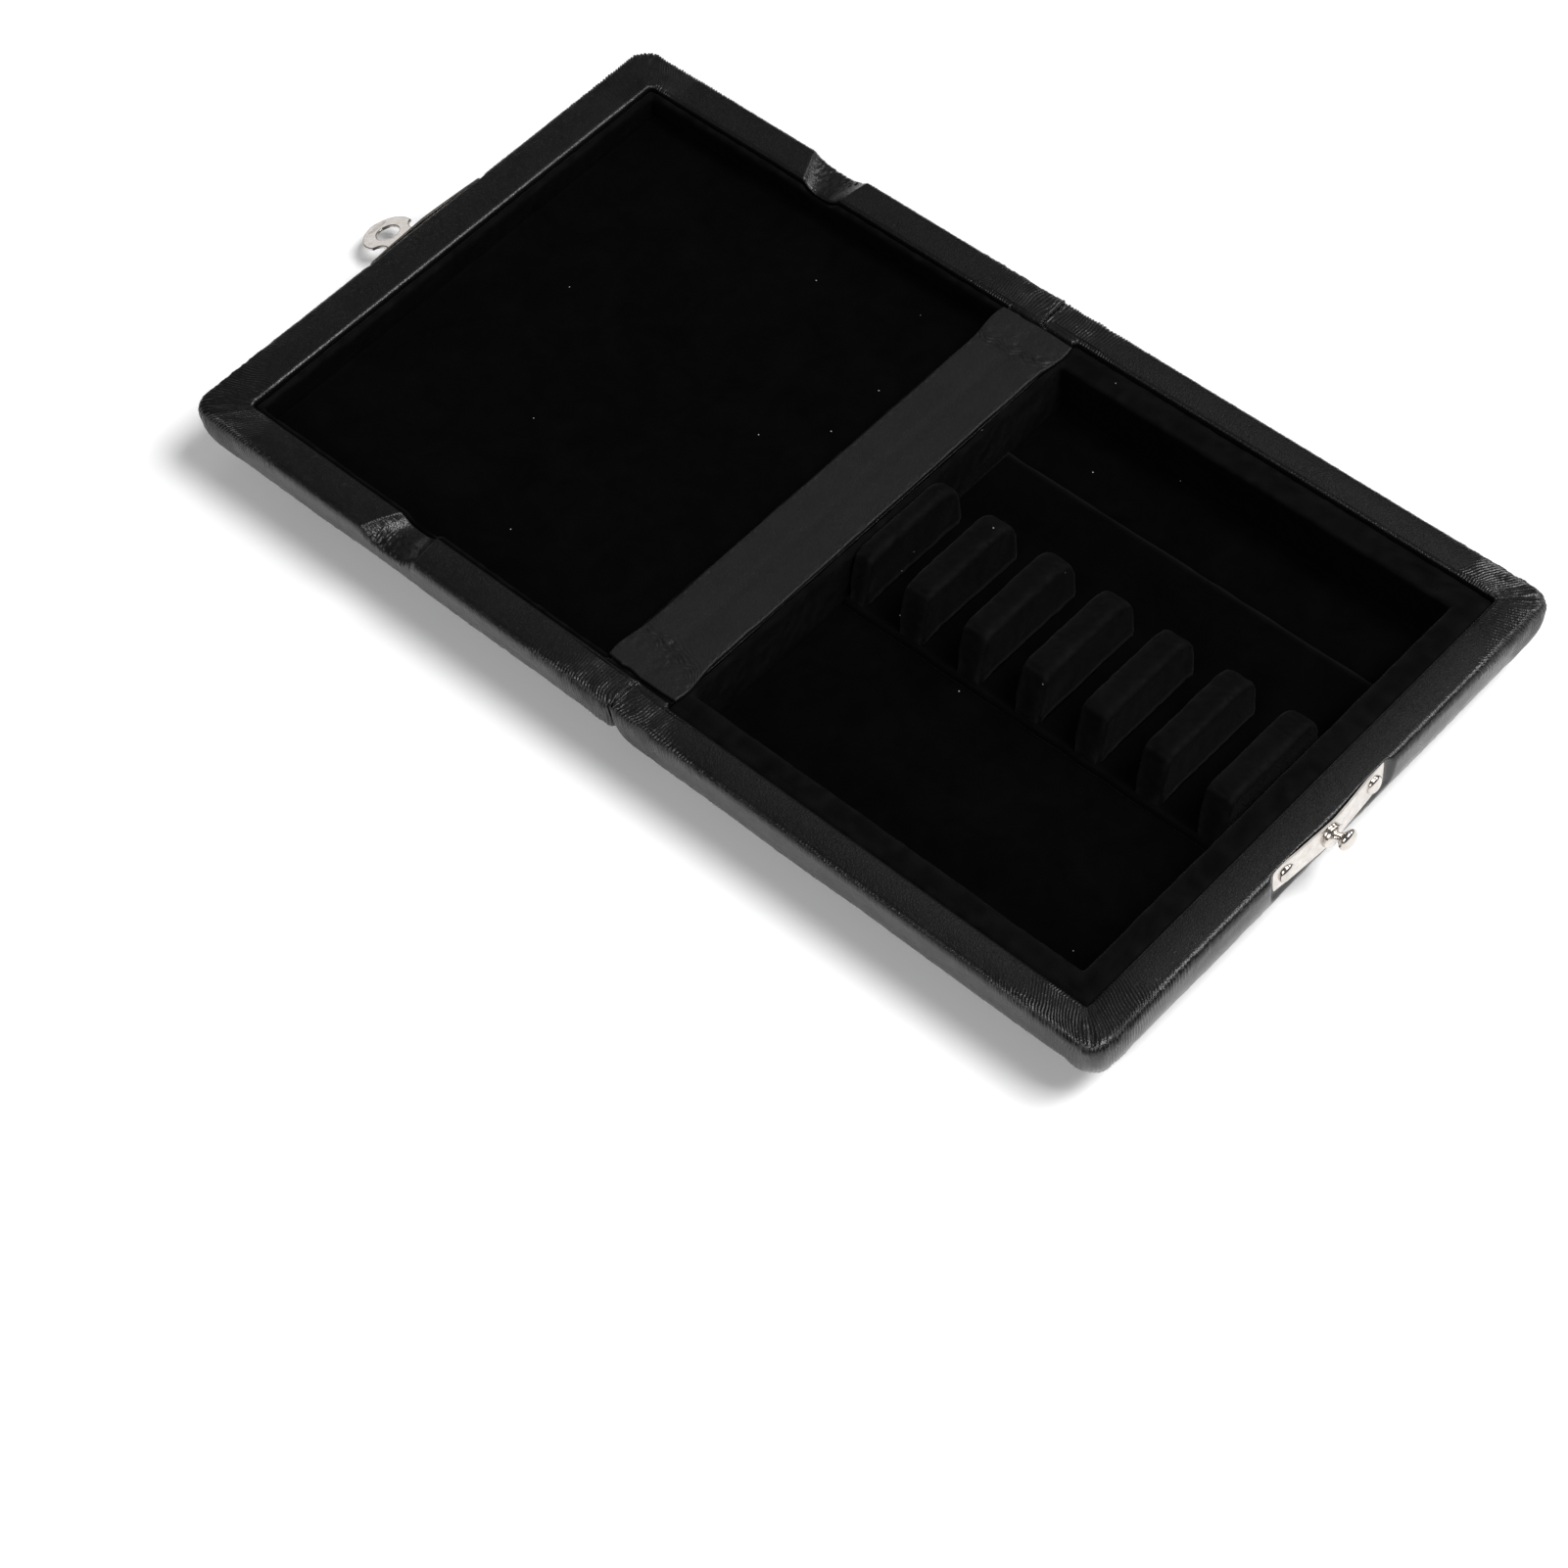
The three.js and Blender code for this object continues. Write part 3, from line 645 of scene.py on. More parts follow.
def leather_shell(name, crown, band, corners, lid, seed):
    points, reach = shell_rings(crown, band, corners)
    ease_hinge_edge(points)
    normals = grid_normals(points, True)
    folds = leather_folds(points, reach, crown, band, seed)
    step_for_strip(points, band)
    if lid:
        depth = press_notch(points, band)
        x, y = points[..., 0], points[..., 1]
        crumple = smooth_step(depth, 0.05, 0.9) * bell(reach[:, None] + 1.0, 4.0)
        phase = x / 0.6 + 0.9 * noise(x / 2, y / 2.5, 0, seed + 11)
        creased = np.abs(np.sin(math.pi * phase)) - 0.6
        folds += crumple * (0.08 * creased + 0.10 * noise(x / 0.5, y / 0.6, 0, seed + 12))
    under_strip = np.abs(points[..., 1]) < STRIP_HALF_LENGTH + 0.6
    under_strip &= points[..., 0] < WALL_GAP + band["hinge"] + 0.3
    under_strip &= points[..., 2] > RIM_Z - 2
    folds = np.where(under_strip, np.minimum(folds, 0) * 0.3, folds)
    points = points + normals * folds[..., None]
    bed_for_plate(points, lid)
    points[..., 0] = np.maximum(points[..., 0], 0.03)
    points[..., 2] = np.clip(points[..., 2], 0.0, RIM_Z + 0.2)
    points, faces = capped(points, [[MIDDLE_X, 0.0, 0.0]])
    return make_piece(name, half_to_world(points, lid), faces, leather)


base_shell = leather_shell("base_leather", 0.0, BASE_BAND, BASE_CORNERS, False, 11)
stand_in(base_shell, "base", "leather", "base_leather_cover")

lid_shell = leather_shell("lid_padded_leather", LID_CROWN, LID_BAND, LID_CORNERS, True, 41)
stand_in(lid_shell, "lid", "leather", "lid_leather_cover")


# ---------------------------------------------------------------- the leather hinge strip
STRIP_LOW = -(WALL_GAP + LID_BAND["hinge"]) - 0.15
STRIP_HIGH = WALL_GAP + BASE_BAND["hinge"] + 0.1


def hinge_strip():
    low, high = STRIP_LOW, STRIP_HIGH
    thick, edge = 0.62, 0.26
    fine = np.array([0, 0.06, 0.14, 0.25])
    across = np.concatenate([low + fine, np.linspace(low + 0.4, high - 0.4, 84), high - fine[::-1]])
    along = np.linspace(-1, 1, 560)
    along = STRIP_HALF_LENGTH * (along + 0.12 * np.sin(math.pi * along))
    x, y = np.meshgrid(across, along)
    top = RIM_Z + 0.1
    to_edge = np.minimum(np.minimum(x - low, high - x), STRIP_HALF_LENGTH - np.abs(y))
    rounded = edge * (1 - np.sqrt(np.clip(1 - (1 - np.clip(to_edge / edge, 0, 1)) ** 2, 0, 1)))
    end = STRIP_HALF_LENGTH - np.abs(y)
    # A band of creases crosses the strip near each end, curving towards the end on the base's side.
    band_at = 6.9 - 0.012 * (x + 6.0) ** 2 + 0.5 * noise(x / 4, 0 * y, 2.0, 71)
    line_phase = (end - band_at) / 0.75 + 0.8 * noise(x / 1.6, y / 1.2, 0, 72)
    band_lines = (np.abs(np.sin(math.pi * line_phase)) - 0.7) * bell(end - band_at, 1.3)
    crossed = noise(x / 0.8, y / 0.8, 0, 77) * bell(end - band_at + 1.5, 3.0)
    waves = 0.05 * noise(x / 5, y / 11, 0, 74)
    lift = waves + 0.26 * band_lines + 0.06 * crossed - 0.05 * bell(x, 1.1)
    # Small puckers where the strip is turned down at its long edges.
    at_edge = bell(np.minimum(x - low, high - x) - 0.25, 0.35)
    lift = lift + 0.09 * at_edge * noise(y / 0.45, x / 0.7, 0, 78)
    z = top - rounded + np.clip(lift, -0.3, 0.1) * smooth_step(to_edge, 0, 0.3)
    # The edges waver a little, more so at the corners.
    wobble = 0.10 * noise(x * 0, y / 5, 3.0, 75) + 0.3 * bell(end, 1.6)
    # Its ends flare out a little over the corners of both openings.
    flare = 0.85 * (1 - smooth_step(end, 1.0, 9.0))
    x = x + np.sign(x) * (flare - wobble) * smooth_step(np.abs(x), 4.0, 6.0)
    wander = 0.35 * noise(x / 2.6, y * 0, 5.0, 76) * smooth_step(np.abs(y), 43.0, 45.0)
    drawn_in = np.abs(wander) + 0.1 * smooth_step(np.abs(x), 4.0, 7.0)
    y = y - np.sign(y) * drawn_in * smooth_step(np.abs(y), 42, 45.4)
    upper = np.stack([x, y, z], axis=-1)
    lower = upper.copy()
    lower[..., 2] = top - thick
    points = np.concatenate([upper.reshape(-1, 3), lower.reshape(-1, 3)])
    points[:, 0] += HINGE_X
    return make_piece("hinge_strip", points, slab_faces(*x.shape), strip_leather)


strip = hinge_strip()
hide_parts("hinge_strip_base_leaf", "hinge_strip_lid_leaf")
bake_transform(strip)


# ---------------------------------------------------------------- the velvet linings
LINING_PLAN = column_plan(corner_columns=10, spacing=0.55)
# The rounded lip of a lining: shares of the way across it, and how far down each is.
LIP_PROFILE = ((0.05, 0.35), (0.16, 0.14), (0.35, 0.02), (0.55, 0.0), (0.75, 0.08), (0.9, 0.3), (0.985, 0.7))


def velvet_lining(name, band, lining, floor_drop, lid, seed):
    rings = []

    def add(ring, drop):
        rings.append(np.column_stack([ring, np.full(len(ring), RIM_Z - drop)]))

    def between(share, radius):
        """A ring part of the way from the lining's outer face to its inner face."""
        gap = {k: band[k] + 0.12 + (SEAT_GAP - 0.12 + lining[k]) * share for k in band}
        return opening_ring(LINING_PLAN, gap, 0, radius)

    top = LINING_DROP - 0.05
    for drop in (3.0, 2.0, 1.3):
        add(between(0, 0.5), drop)
    for share, drop in LIP_PROFILE:
        add(between(share, 0.6), top + drop)
    steps = max(6, int((floor_drop - top - 1.4) / 0.5))
    for drop in np.linspace(top + 1.1, floor_drop - 0.6, steps):
        add(between(1, 0.7), drop)
    inner = {k: band[k] + SEAT_GAP + lining[k] for k in band}
    for grow, lift in ((0.12, 0.28), (0.4, 0.08), (0.9, 0.0)):
        add(opening_ring(LINING_PLAN, {k: inner[k] + grow for k in inner}, 0, 0.7), floor_drop - lift)
    ring = opening_ring(LINING_PLAN, {k: inner[k] + 0.9 for k in inner}, 0, 0.7)
    middle = np.array([(ring[:, 0].min() + ring[:, 0].max()) / 2, 0.0])
    for share in np.linspace(1, 0.02, 56)[1:]:
        add(middle + (ring - middle) * share, floor_drop)
    points = np.array(rings)
    if lid:
        side = np.abs(points[..., 1]) > HALF_WIDTH - band["side"] - 2.5
        lowered = notch_depth(points[..., 0], points[..., 1], band) * side
        points[..., 2] -= lowered * np.clip(1 - (RIM_Z - points[..., 2]) / 4.5, 0, 1)
    normals = grid_normals(points, True)
    x, y, z = points[..., 0], points[..., 1], points[..., 2]
    nap = 0.07 * noise(x / 1.3, y / 1.3, z / 1.3, seed) + 0.1 * noise(x / 7, y / 7, z / 4, seed + 1)
    drop = RIM_Z - z
    deep = drop > floor_drop - 0.05
    # Pale values for the material: rubbed pile with a painted highlight on the lining's top and along the
    # lip's inner edge, and a faint one at the foot of the walls.
    lip_rub_and_highlight = bell(drop - LINING_DROP - 0.45, 0.5) * 0.30
    worn_and_lit = 0.12 * (1 - smooth_step(drop, 0.9, 1.6)) + lip_rub_and_highlight + 0.06 * bell(drop - floor_drop + 0.25, 0.3)
    worn_and_lit = np.clip(worn_and_lit * (1 + 0.5 * noise(x / 1.5, y / 1.5, z / 1.5, seed + 2)), 0, 1)
    nap = np.where(deep, 0.35 * nap - 0.03, nap)
    points = points + normals * nap[..., None]
    points, faces = capped(points, [[middle[0], 0.0, RIM_Z - floor_drop]])
    return make_piece(name, half_to_world(points, lid), faces, velvet, np.append(worn_and_lit, 0.0))


base_lining = velvet_lining("base_velvet_lining", BASE_BAND, BASE_LINING, BASE_FLOOR, False, 91)
stand_in(base_lining, "base", "velvet", "base_velvet_walls", "base_velvet_floor")
lid_lining = velvet_lining("lid_velvet_lining", LID_BAND, LID_LINING, LID_PANEL, True, 95)
stand_in(lid_lining, "lid", "velvet", "lid_velvet_walls", "lid_velvet_panel")


# ---------------------------------------------------------------- the rack
def soft_block(name, cad_node, section, stations, nap, seed):
    """A velvet block: closed sections joined along Y. section(y) gives a ring of (x, z) points."""
    rings = []
    for y in stations:
        ring = section(y)
        rings.append(np.column_stack([ring[:, 0], np.full(len(ring), y), ring[:, 1]]))
    points = np.array(rings)
    normals = grid_normals(points, True)
    x, y, z = points[..., 0], points[..., 1], points[..., 2]
    top = z.max(axis=1, keepdims=True)
    # Pale values for the material: a painted highlight along each tooth's ridge and at its near end's upright
    # corners, partly rubbed pile, mottled at random.
    ridge = 1 - smooth_step(top - z, 0.2, 1.5)
    beside = np.minimum(x - x.min(axis=1, keepdims=True), x.max(axis=1, keepdims=True) - x)
    corner = bell(beside, 0.45) * bell(y - y.min(), 1.2)
    mottled = 0.85 + 0.35 * noise(x / 0.6, y / 0.6, z / 0.6, seed + 5)
    worn_and_highlit = 0.30 * ridge + 0.22 * ridge * bell(beside - 0.5, 0.6) + 0.3 * corner
    worn_and_lit = np.clip(worn_and_highlit * mottled, 0, 1)
    rough = nap * noise(x / 1.2, y / 1.2, z / 1.2, seed) + 1.4 * nap * noise(x / 4, y / 5, z / 4, seed + 1)
    points = points + normals * rough[..., None]
    points, faces = capped(points, points[[0, -1]].mean(axis=1))
    piece = make_piece(name, points, faces, velvet, np.append(worn_and_lit, [0.2, 0.2]))
    stand_in(piece, "base", "velvet", cad_node)


def rounded_ring(x0, x1, z0, z1, radius):
    """A ring round an upright rectangle with rounded upper corners."""
    points, steps = [], 8
    for z in np.linspace(z0, z1 - radius, 6)[:-1]:
        points.append((x0, z))
    for turn in np.linspace(math.pi, math.pi / 2, steps):
        points.append((x0 + radius + radius * math.cos(turn), z1 - radius + radius * math.sin(turn)))
    for x in np.linspace(x0 + radius, x1 - radius, 6)[1:-1]:
        points.append((x, z1))
    for turn in np.linspace(math.pi / 2, 0, steps):
        points.append((x1 - radius + radius * math.cos(turn), z1 - radius + radius * math.sin(turn)))
    for z in np.linspace(z1 - radius, z0, 6)[1:]:
        points.append((x1, z))
    for x in np.linspace(x1, x0, 6)[1:-1]:
        points.append((x, z0))
    return np.array(points)


TOOTH_STEEP = 4.2  # length of a tooth's steep near end
TOOTH_ROUND = 4.5  # radius of its rounded far end


def cad_box(cad_node):
    """The lower and upper corner of a CAD node, in millimetres."""
    return [np.array(v) * 1000 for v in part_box(cad_node)]


def rack_tooth(number):
    lo, hi = cad_box(f"rack_tooth_{number}")
    rise = hi[2] - lo[2]
    lean = 0.15 * math.sin(number * 2.3)

    def section(y):
        from_near, from_far = y - lo[1], hi[1] - y
        top = rise
        if from_near < TOOTH_STEEP:
            dip = 0.6 * math.exp(-(((from_near - 2.6) / 0.85) ** 2))
            top = min(rise, 0.2 + 3.6 * from_near) - dip
        if from_far < TOOTH_ROUND:
            t = 1 - max(from_far, 0) / TOOTH_ROUND
            top = min(top, rise - TOOTH_ROUND * (1 - math.sqrt(max(1 - t**2, 0))))
        top = max(top, 0.15)
        ends = smooth_step(from_near, 0, 1.2) * smooth_step(from_far, 0, 1.0)
        squeeze = 0.12 + 0.5 * (1 - float(ends))
        radius = min(1.1, top * 0.45)
        x0, x1 = lo[0] + squeeze, hi[0] - squeeze
        return rounded_ring(x0 + lean * 0.2, x1 + lean * 0.2, lo[2] - 0.1, lo[2] + top, radius)

    lay = np.concatenate(
        [
            lo[1] + np.linspace(0, 3.9, 20),
            np.linspace(lo[1] + 4.3, hi[1] - 4.8, 26),
            hi[1] - TOOTH_ROUND * (1 - np.linspace(0, 1, 22)) ** 1.6,
        ]
    )
    name, cad_node = f"rack_tooth_velvet_{number}", f"rack_tooth_{number}"
    soft_block(name, cad_node, section, lay, 0.07, 120 + number * 3)


for number in range(1, 8):
    rack_tooth(number)


def rack_platform():
    """A low velvet-covered slab, as a grid draped over its top and edges."""
    lo, hi = cad_box("rack_platform")
    near, far = lo[1] + np.linspace(0, 1, 8), hi[1] - np.linspace(1, 0, 8)
    ys = np.concatenate([near, np.linspace(lo[1] + 1.6, hi[1] - 1.6, 60), far])
    x, y = np.meshgrid(np.linspace(lo[0], hi[0], 150), ys)
    edge = np.minimum(y - lo[1], hi[1] - y)
    rounded = np.sqrt(np.clip(1 - (1 - np.clip(edge / 0.8, 0, 1)) ** 2, 0, 1))
    z = lo[2] + (hi[2] - lo[2]) * (0.25 + 0.75 * rounded)
    z = z + 0.05 * noise(x / 1.3, y / 1.3, 0, 151) + 0.06 * noise(x / 6, y / 6, 0, 152)
    y = y + 0.10 * noise(x / 4, y * 0, 0, 153) * (1 - smooth_step(edge, 0, 2))
    skirt = np.stack([x, y, np.full_like(x, lo[2] - 0.05)], axis=-1)
    upper = np.stack([x, y, z], axis=-1)
    points = np.concatenate([upper.reshape(-1, 3), skirt.reshape(-1, 3)])
    # Pale values for the material: a painted highlight along the far rounded edge, where it catches the
    # light, and a fainter one at the near edge, partly rubbed pile.
    edges = 0.5 * bell(hi[1] - y - 0.4, 0.5) + 0.12 * bell(y - lo[1] - 0.4, 0.5)
    worn_and_lit = np.concatenate([edges.ravel(), np.zeros(edges.size)])
    piece = make_piece("rack_platform_velvet", points, slab_faces(*x.shape), velvet, worn_and_lit)
    stand_in(piece, "base", "velvet", "rack_platform")


rack_platform()

# ---------------------------------------------------------------- the catch
BARREL_UP = 7.5
BARREL_OUT = 1.35
BARREL_RADIUS = 1.1
BARREL_HALF = 3.8
KNUCKLE_JOINT = 1.25
RIVET_AT = 10.0
RIVET_HEAD = 1.6
RIVET_RISE = 0.8
STUD_HEAD = 1.78
STUD_HEAD_AT = 2.45  # the head's widest place, out from the plate
STUD_HEAD_RISE = 0.82
STUD_LEAN = 0.55
PIN_HEAD = 1.02
PLATE_MIDDLE = PLATE_EDGE + PLATE_HIGH / 2
PLATE_CENTRE_Z = RIM_Z + RIM_GAP - PLATE_MIDDLE
BARREL_X = FRONT_X + BARREL_OUT
BARREL_Z = RIM_Z + RIM_GAP - BARREL_UP
HASP_DROOP = math.radians(18)
HASP_NECK = 1.1
HASP_SHOULDER = 4.7
HASP_SHOULDER_TOP = 2.3
HASP_CORNER = 0.35
HASP_WAIST = 7.45
HASP_NOTCH_AT = 5.0
HASP_NOTCH = 2.0
HASP_LOBE_AT = 10.5
HASP_LOBE = 4.6
HASP_HOLE = 2.05


def welded(points, faces):
    """Joins points that lie on each other, and drops faces that this leaves without an area."""
    keys = np.round(points * 2000).astype(np.int64)
    _, first, place = np.unique(keys, axis=0, return_index=True, return_inverse=True)
    faces = place.ravel()[faces]
    kept = [f for f in faces if len(set(f)) == 4]
    return points[first], np.array(kept)


def sheet_metal(grids, place, thick, bevel, outline):
    """A sheet of metal from flat grids: a top and a bottom with softened edges, and its cut sides.
    place(u, w, offset) gives a point; outline is a list of points round the sheet's edges."""
    points, faces, start = [], [], 0
    for u, w in grids:
        rows, columns = u.shape
        points.append(np.stack([u.ravel(), w.ravel()], axis=-1))
        faces.append(grid_faces(rows, columns, False, start))
        start += rows * columns
    flat, quads = welded(np.concatenate(points), np.concatenate(faces))
    away = np.full(len(flat), 99.0)
    for chunk in np.array_split(np.asarray(outline), 20):
        gaps = np.linalg.norm(flat[:, None, :] - chunk[None, :, :], axis=-1)
        away = np.minimum(away, gaps.min(axis=1))
    edge = 1 - np.clip(away / bevel, 0, 1)
    half = thick / 2 - 0.45 * bevel * edge**2
    upper = place(flat[:, 0], flat[:, 1], half)
    lower = place(flat[:, 0], flat[:, 1], -half)
    count = len(flat)
    sides = {}
    for quad in quads:
        for a, b in zip(quad, np.roll(quad, -1)):
            if (b, a) in sides:
                del sides[(b, a)]
            else:
                sides[(a, b)] = True
    walls = np.array([(a, a + count, b + count, b) for a, b in sides])
    return np.concatenate([upper, lower]), [quads, quads[:, ::-1] + count, walls]


def joined(shapes):
    """One list of points and faces from several."""
    points, faces, start = [], [], 0
    for shape_points, shape_faces in shapes:
        points.append(shape_points)
        faces += [f + start for f in shape_faces]
        start += len(shape_points)
    return np.concatenate(points), faces


def lathe(profile, centre, along_y, segments, lumps, seed):
    """A turned shape: profile is a list of (radius, distance along the axis) points."""
    profile = np.array(profile)
    turn = np.linspace(0, 2 * math.pi, segments, endpoint=False)
    radius, along = profile[:, 0][:, None], profile[:, 1][:, None]
    dent = lumps * noise(radius * np.cos(turn) * 0.9, radius * np.sin(turn) * 0.9, along, seed)
    a, b = (radius + dent) * np.cos(turn), (radius + dent) * np.sin(turn)
    c = along + dent
    axes = [a, c, b] if along_y else [c, a, b]
    points = np.stack(axes, axis=-1) + np.array(centre)
    points, faces = capped(points, points[[0, -1]].mean(axis=1))
    if along_y:
        faces = [f[:, ::-1] for f in faces]
    return points, faces


def add_metal(name, shape, lid, body, cad_node):
    points, faces = shape
    piece = make_piece(name, half_to_world(points, lid), faces, nickel)
    sharp_edges(piece, 40)
    stand_in(piece, body, "nickel", cad_node)


def sharp_edges(piece, degrees):
    """Marks edges sharper than an angle, so that smooth shading stops there."""
    shape = bmesh.new()
    shape.from_mesh(piece.data)
    bmesh.ops.recalc_face_normals(shape, faces=shape.faces)
    for edge in shape.edges:
        if len(edge.link_faces) == 2:
            edge.smooth = edge.calc_face_angle(0) < math.radians(degrees)
    shape.to_mesh(piece.data)
    shape.free()


def lines_between(low, high, count, margin):
    """Grid lines with extra ones close to both ends, where a sheet's edge is bevelled."""
    near = np.array([0, 0.25, 0.6, 1.0]) * margin
    between = np.linspace(low + margin, high - margin, count)[1:-1]
    return np.concatenate([low + near, between, high - near[::-1]])


def rounded_plate(half_y, half_z, corner, clip_corner):
    """A grid over a plate with rounded corners; one corner may be clipped further."""
    ys = lines_between(-half_y, half_y, 60, 0.7)
    zs = lines_between(-half_z, half_z, 14, 0.7)
    y, z = np.meshgrid(ys, zs)
    for side_y in (-1, 1):
        for side_z in (-1, 1):
            r = clip_corner if (side_y, side_z) == (-1, 1) else corner
            a = np.clip((side_y * y - (half_y - r)) / r, 0, 1)
            b = np.clip((side_z * z - (half_z - r)) / r, 0, 1)
            both = (a > 0) & (b > 0)
            y = np.where(both, side_y * (half_y - r + r * a * np.sqrt(1 - b**2 / 2)), y)
            z = np.where(both, side_z * (half_z - r + r * b * np.sqrt(1 - a**2 / 2)), z)
    return y, z


def grid_outline(u, w):
    """Points closely spaced round a grid's border."""
    rim = [np.stack([u[0], w[0]], -1), np.stack([u[:, -1], w[:, -1]], -1)]
    rim += [np.stack([u[-1, ::-1], w[-1, ::-1]], -1), np.stack([u[::-1, 0], w[::-1, 0]], -1)]
    corners = np.concatenate(rim)
    share = np.linspace(0, 1, 8, endpoint=False)[:, None, None]
    following = np.roll(corners, -1, axis=0)
    return (corners * (1 - share) + following * share).reshape(-1, 2)


def latch_plate(lid, seed):
    y, z = rounded_plate(PLATE_LONG / 2, PLATE_HIGH / 2, 0.7, 0.9)

    def place(py, pz, offset):
        back = PLATE_BACK + PLATE_THICK / 2 - plate_press(py, lid)
        dull = 0.05 * noise(py / 4, pz / 3, 0, seed)
        tilt = 0.10 * pz / PLATE_HIGH
        return np.stack([back + dull + tilt + offset, py, PLATE_CENTRE_Z + pz], axis=-1)

    return sheet_metal([(y, z)], place, PLATE_THICK, 0.22, grid_outline(y, z))


def rivet_head(y, z, lid, seed):
    face = PLATE_BACK + PLATE_THICK - float(plate_press(np.array(y), lid))
    profile = [(0.5, -1.2), (0.5, -0.3), (RIVET_HEAD - 0.05, -0.25)]
    profile += [(RIVET_HEAD, -0.05), (RIVET_HEAD - 0.01, 0.06)]
    for turn in np.linspace(0, math.pi / 2, 12)[1:-1]:
        profile.append((RIVET_HEAD * math.cos(turn) ** 0.9, 0.06 + (RIVET_RISE - 0.06) * math.sin(turn)))
    profile.append((0.04, RIVET_RISE))
    return lathe(profile, (face, y, z), False, 40, 0.03, seed)


def stud():
    """A turned stud: a round collar on the plate, a neck, and a button head."""
    face = PLATE_BACK + PLATE_THICK - float(plate_press(np.array(0.0), False))
    profile = [(0.8, -1.2), (0.8, -0.3), (1.95, -0.25), (2.05, -0.1), (2.05, 0.3), (1.98, 0.48)]
    profile += [(1.8, 0.56), (1.1, 0.6), (0.88, 0.7), (0.85, 1.0), (0.88, 1.5), (1.2, 1.62)]
    for turn in np.linspace(-0.9, math.pi / 2, 18)[:-1]:
        radius = STUD_HEAD * math.cos(turn) ** (0.75 if turn > 0 else 0.5)
        profile.append((max(radius, 0.04), STUD_HEAD_AT + STUD_HEAD_RISE * math.sin(turn)))
    profile.append((0.03, STUD_HEAD_AT + STUD_HEAD_RISE))
    points, faces = lathe(profile, (face, 0.0, PLATE_CENTRE_Z), False, 56, 0.0, 1)
    # The stud leans: its head is centred in the hasp's hole, its collar sits lower and nearer.
    out = 1 - smooth_step(points[:, 0] - face, 0.0, 2.3)
    points[:, 1:] -= STUD_LEAN * out[:, None]
    return points, faces


def knuckle(y0, y1, seed):
    """One rolled knuckle of the barrel, with eased ends and a bore."""
    outer, bore, ease = BARREL_RADIUS, 0.55, 0.1
    profile = [(bore, y0 + 0.02), (outer - ease, y0), (outer - 0.03, y0 + 0.04), (outer, y0 + ease)]
    profile += [(outer, y) for y in np.linspace(y0 + 0.3, y1 - 0.3, 5)]
    profile += [(outer, y1 - ease), (outer - 0.03, y1 - 0.04), (outer - ease, y1), (bore, y1 - 0.02)]
    return lathe(profile, (BARREL_X, 0.0, BARREL_Z), True, 44, 0.015, seed)


def lid_plate():
    """The lid's plate with its two outer knuckles, each rolled from a tab of the plate."""
    shapes = [latch_plate(True, 301)]
    for side in (-1, 1):
        y0, y1 = sorted((side * KNUCKLE_JOINT, side * BARREL_HALF))
        shapes.append(knuckle(y0, y1, 302))
        ys = lines_between(y0, y1, 8, 0.3)
        zs = lines_between(BARREL_Z - 0.2, PLATE_CENTRE_Z - PLATE_HIGH / 2 + 0.7, 8, 0.3)
        y, z = np.meshgrid(ys, zs)

        def place(py, pz, offset):
            lean = smooth_step(pz, BARREL_Z, PLATE_CENTRE_Z - PLATE_HIGH / 2 + 0.6)
            back = PLATE_BACK + PLATE_THICK / 2 + 0.1 - (0.05 + plate_press(py, True)) * lean
            return np.stack([back + offset, py, pz], axis=-1)

        shapes.append(sheet_metal([(y, z)], place, PLATE_THICK - 0.06, 0.15, grid_outline(y, z)))
    return joined(shapes)


def hinge_pin():
    head = BARREL_HALF + 0.1
    profile = [(0.45, BARREL_HALF - 0.1), (0.45, -head + 0.1), (PIN_HEAD - 0.04, -head + 0.05)]
    profile.append((PIN_HEAD, -head - 0.12))
    for turn in np.linspace(0.15, math.pi / 2, 9)[:-1]:
        profile.append((PIN_HEAD * math.cos(turn), -head - 0.12 - 0.6 * math.sin(turn)))
    profile.append((0.03, -head - 0.72))
    return lathe(profile, (BARREL_X, 0.0, BARREL_Z), True, 36, 0.02, 305)


def hasp_half_width(u):
    """Half the hasp's width at a distance from its pin."""
    if u < HASP_SHOULDER_TOP:
        return HASP_NECK
    width = HASP_SHOULDER
    past = u - HASP_SHOULDER_TOP
    if past < HASP_CORNER:
        width -= HASP_CORNER - math.sqrt(HASP_CORNER**2 - (HASP_CORNER - past) ** 2)
    from_waist = abs(u - HASP_WAIST)
    if from_waist < HASP_NOTCH:
        width = min(width, HASP_NOTCH_AT - math.sqrt(HASP_NOTCH**2 - from_waist**2))
    if u > HASP_WAIST:
        beyond = u - HASP_LOBE_AT
        lobe = math.sqrt(max(HASP_LOBE**2 - beyond**2, 0.03**2))
        width = min(width, lobe) if beyond > -1.6 else width
    return width


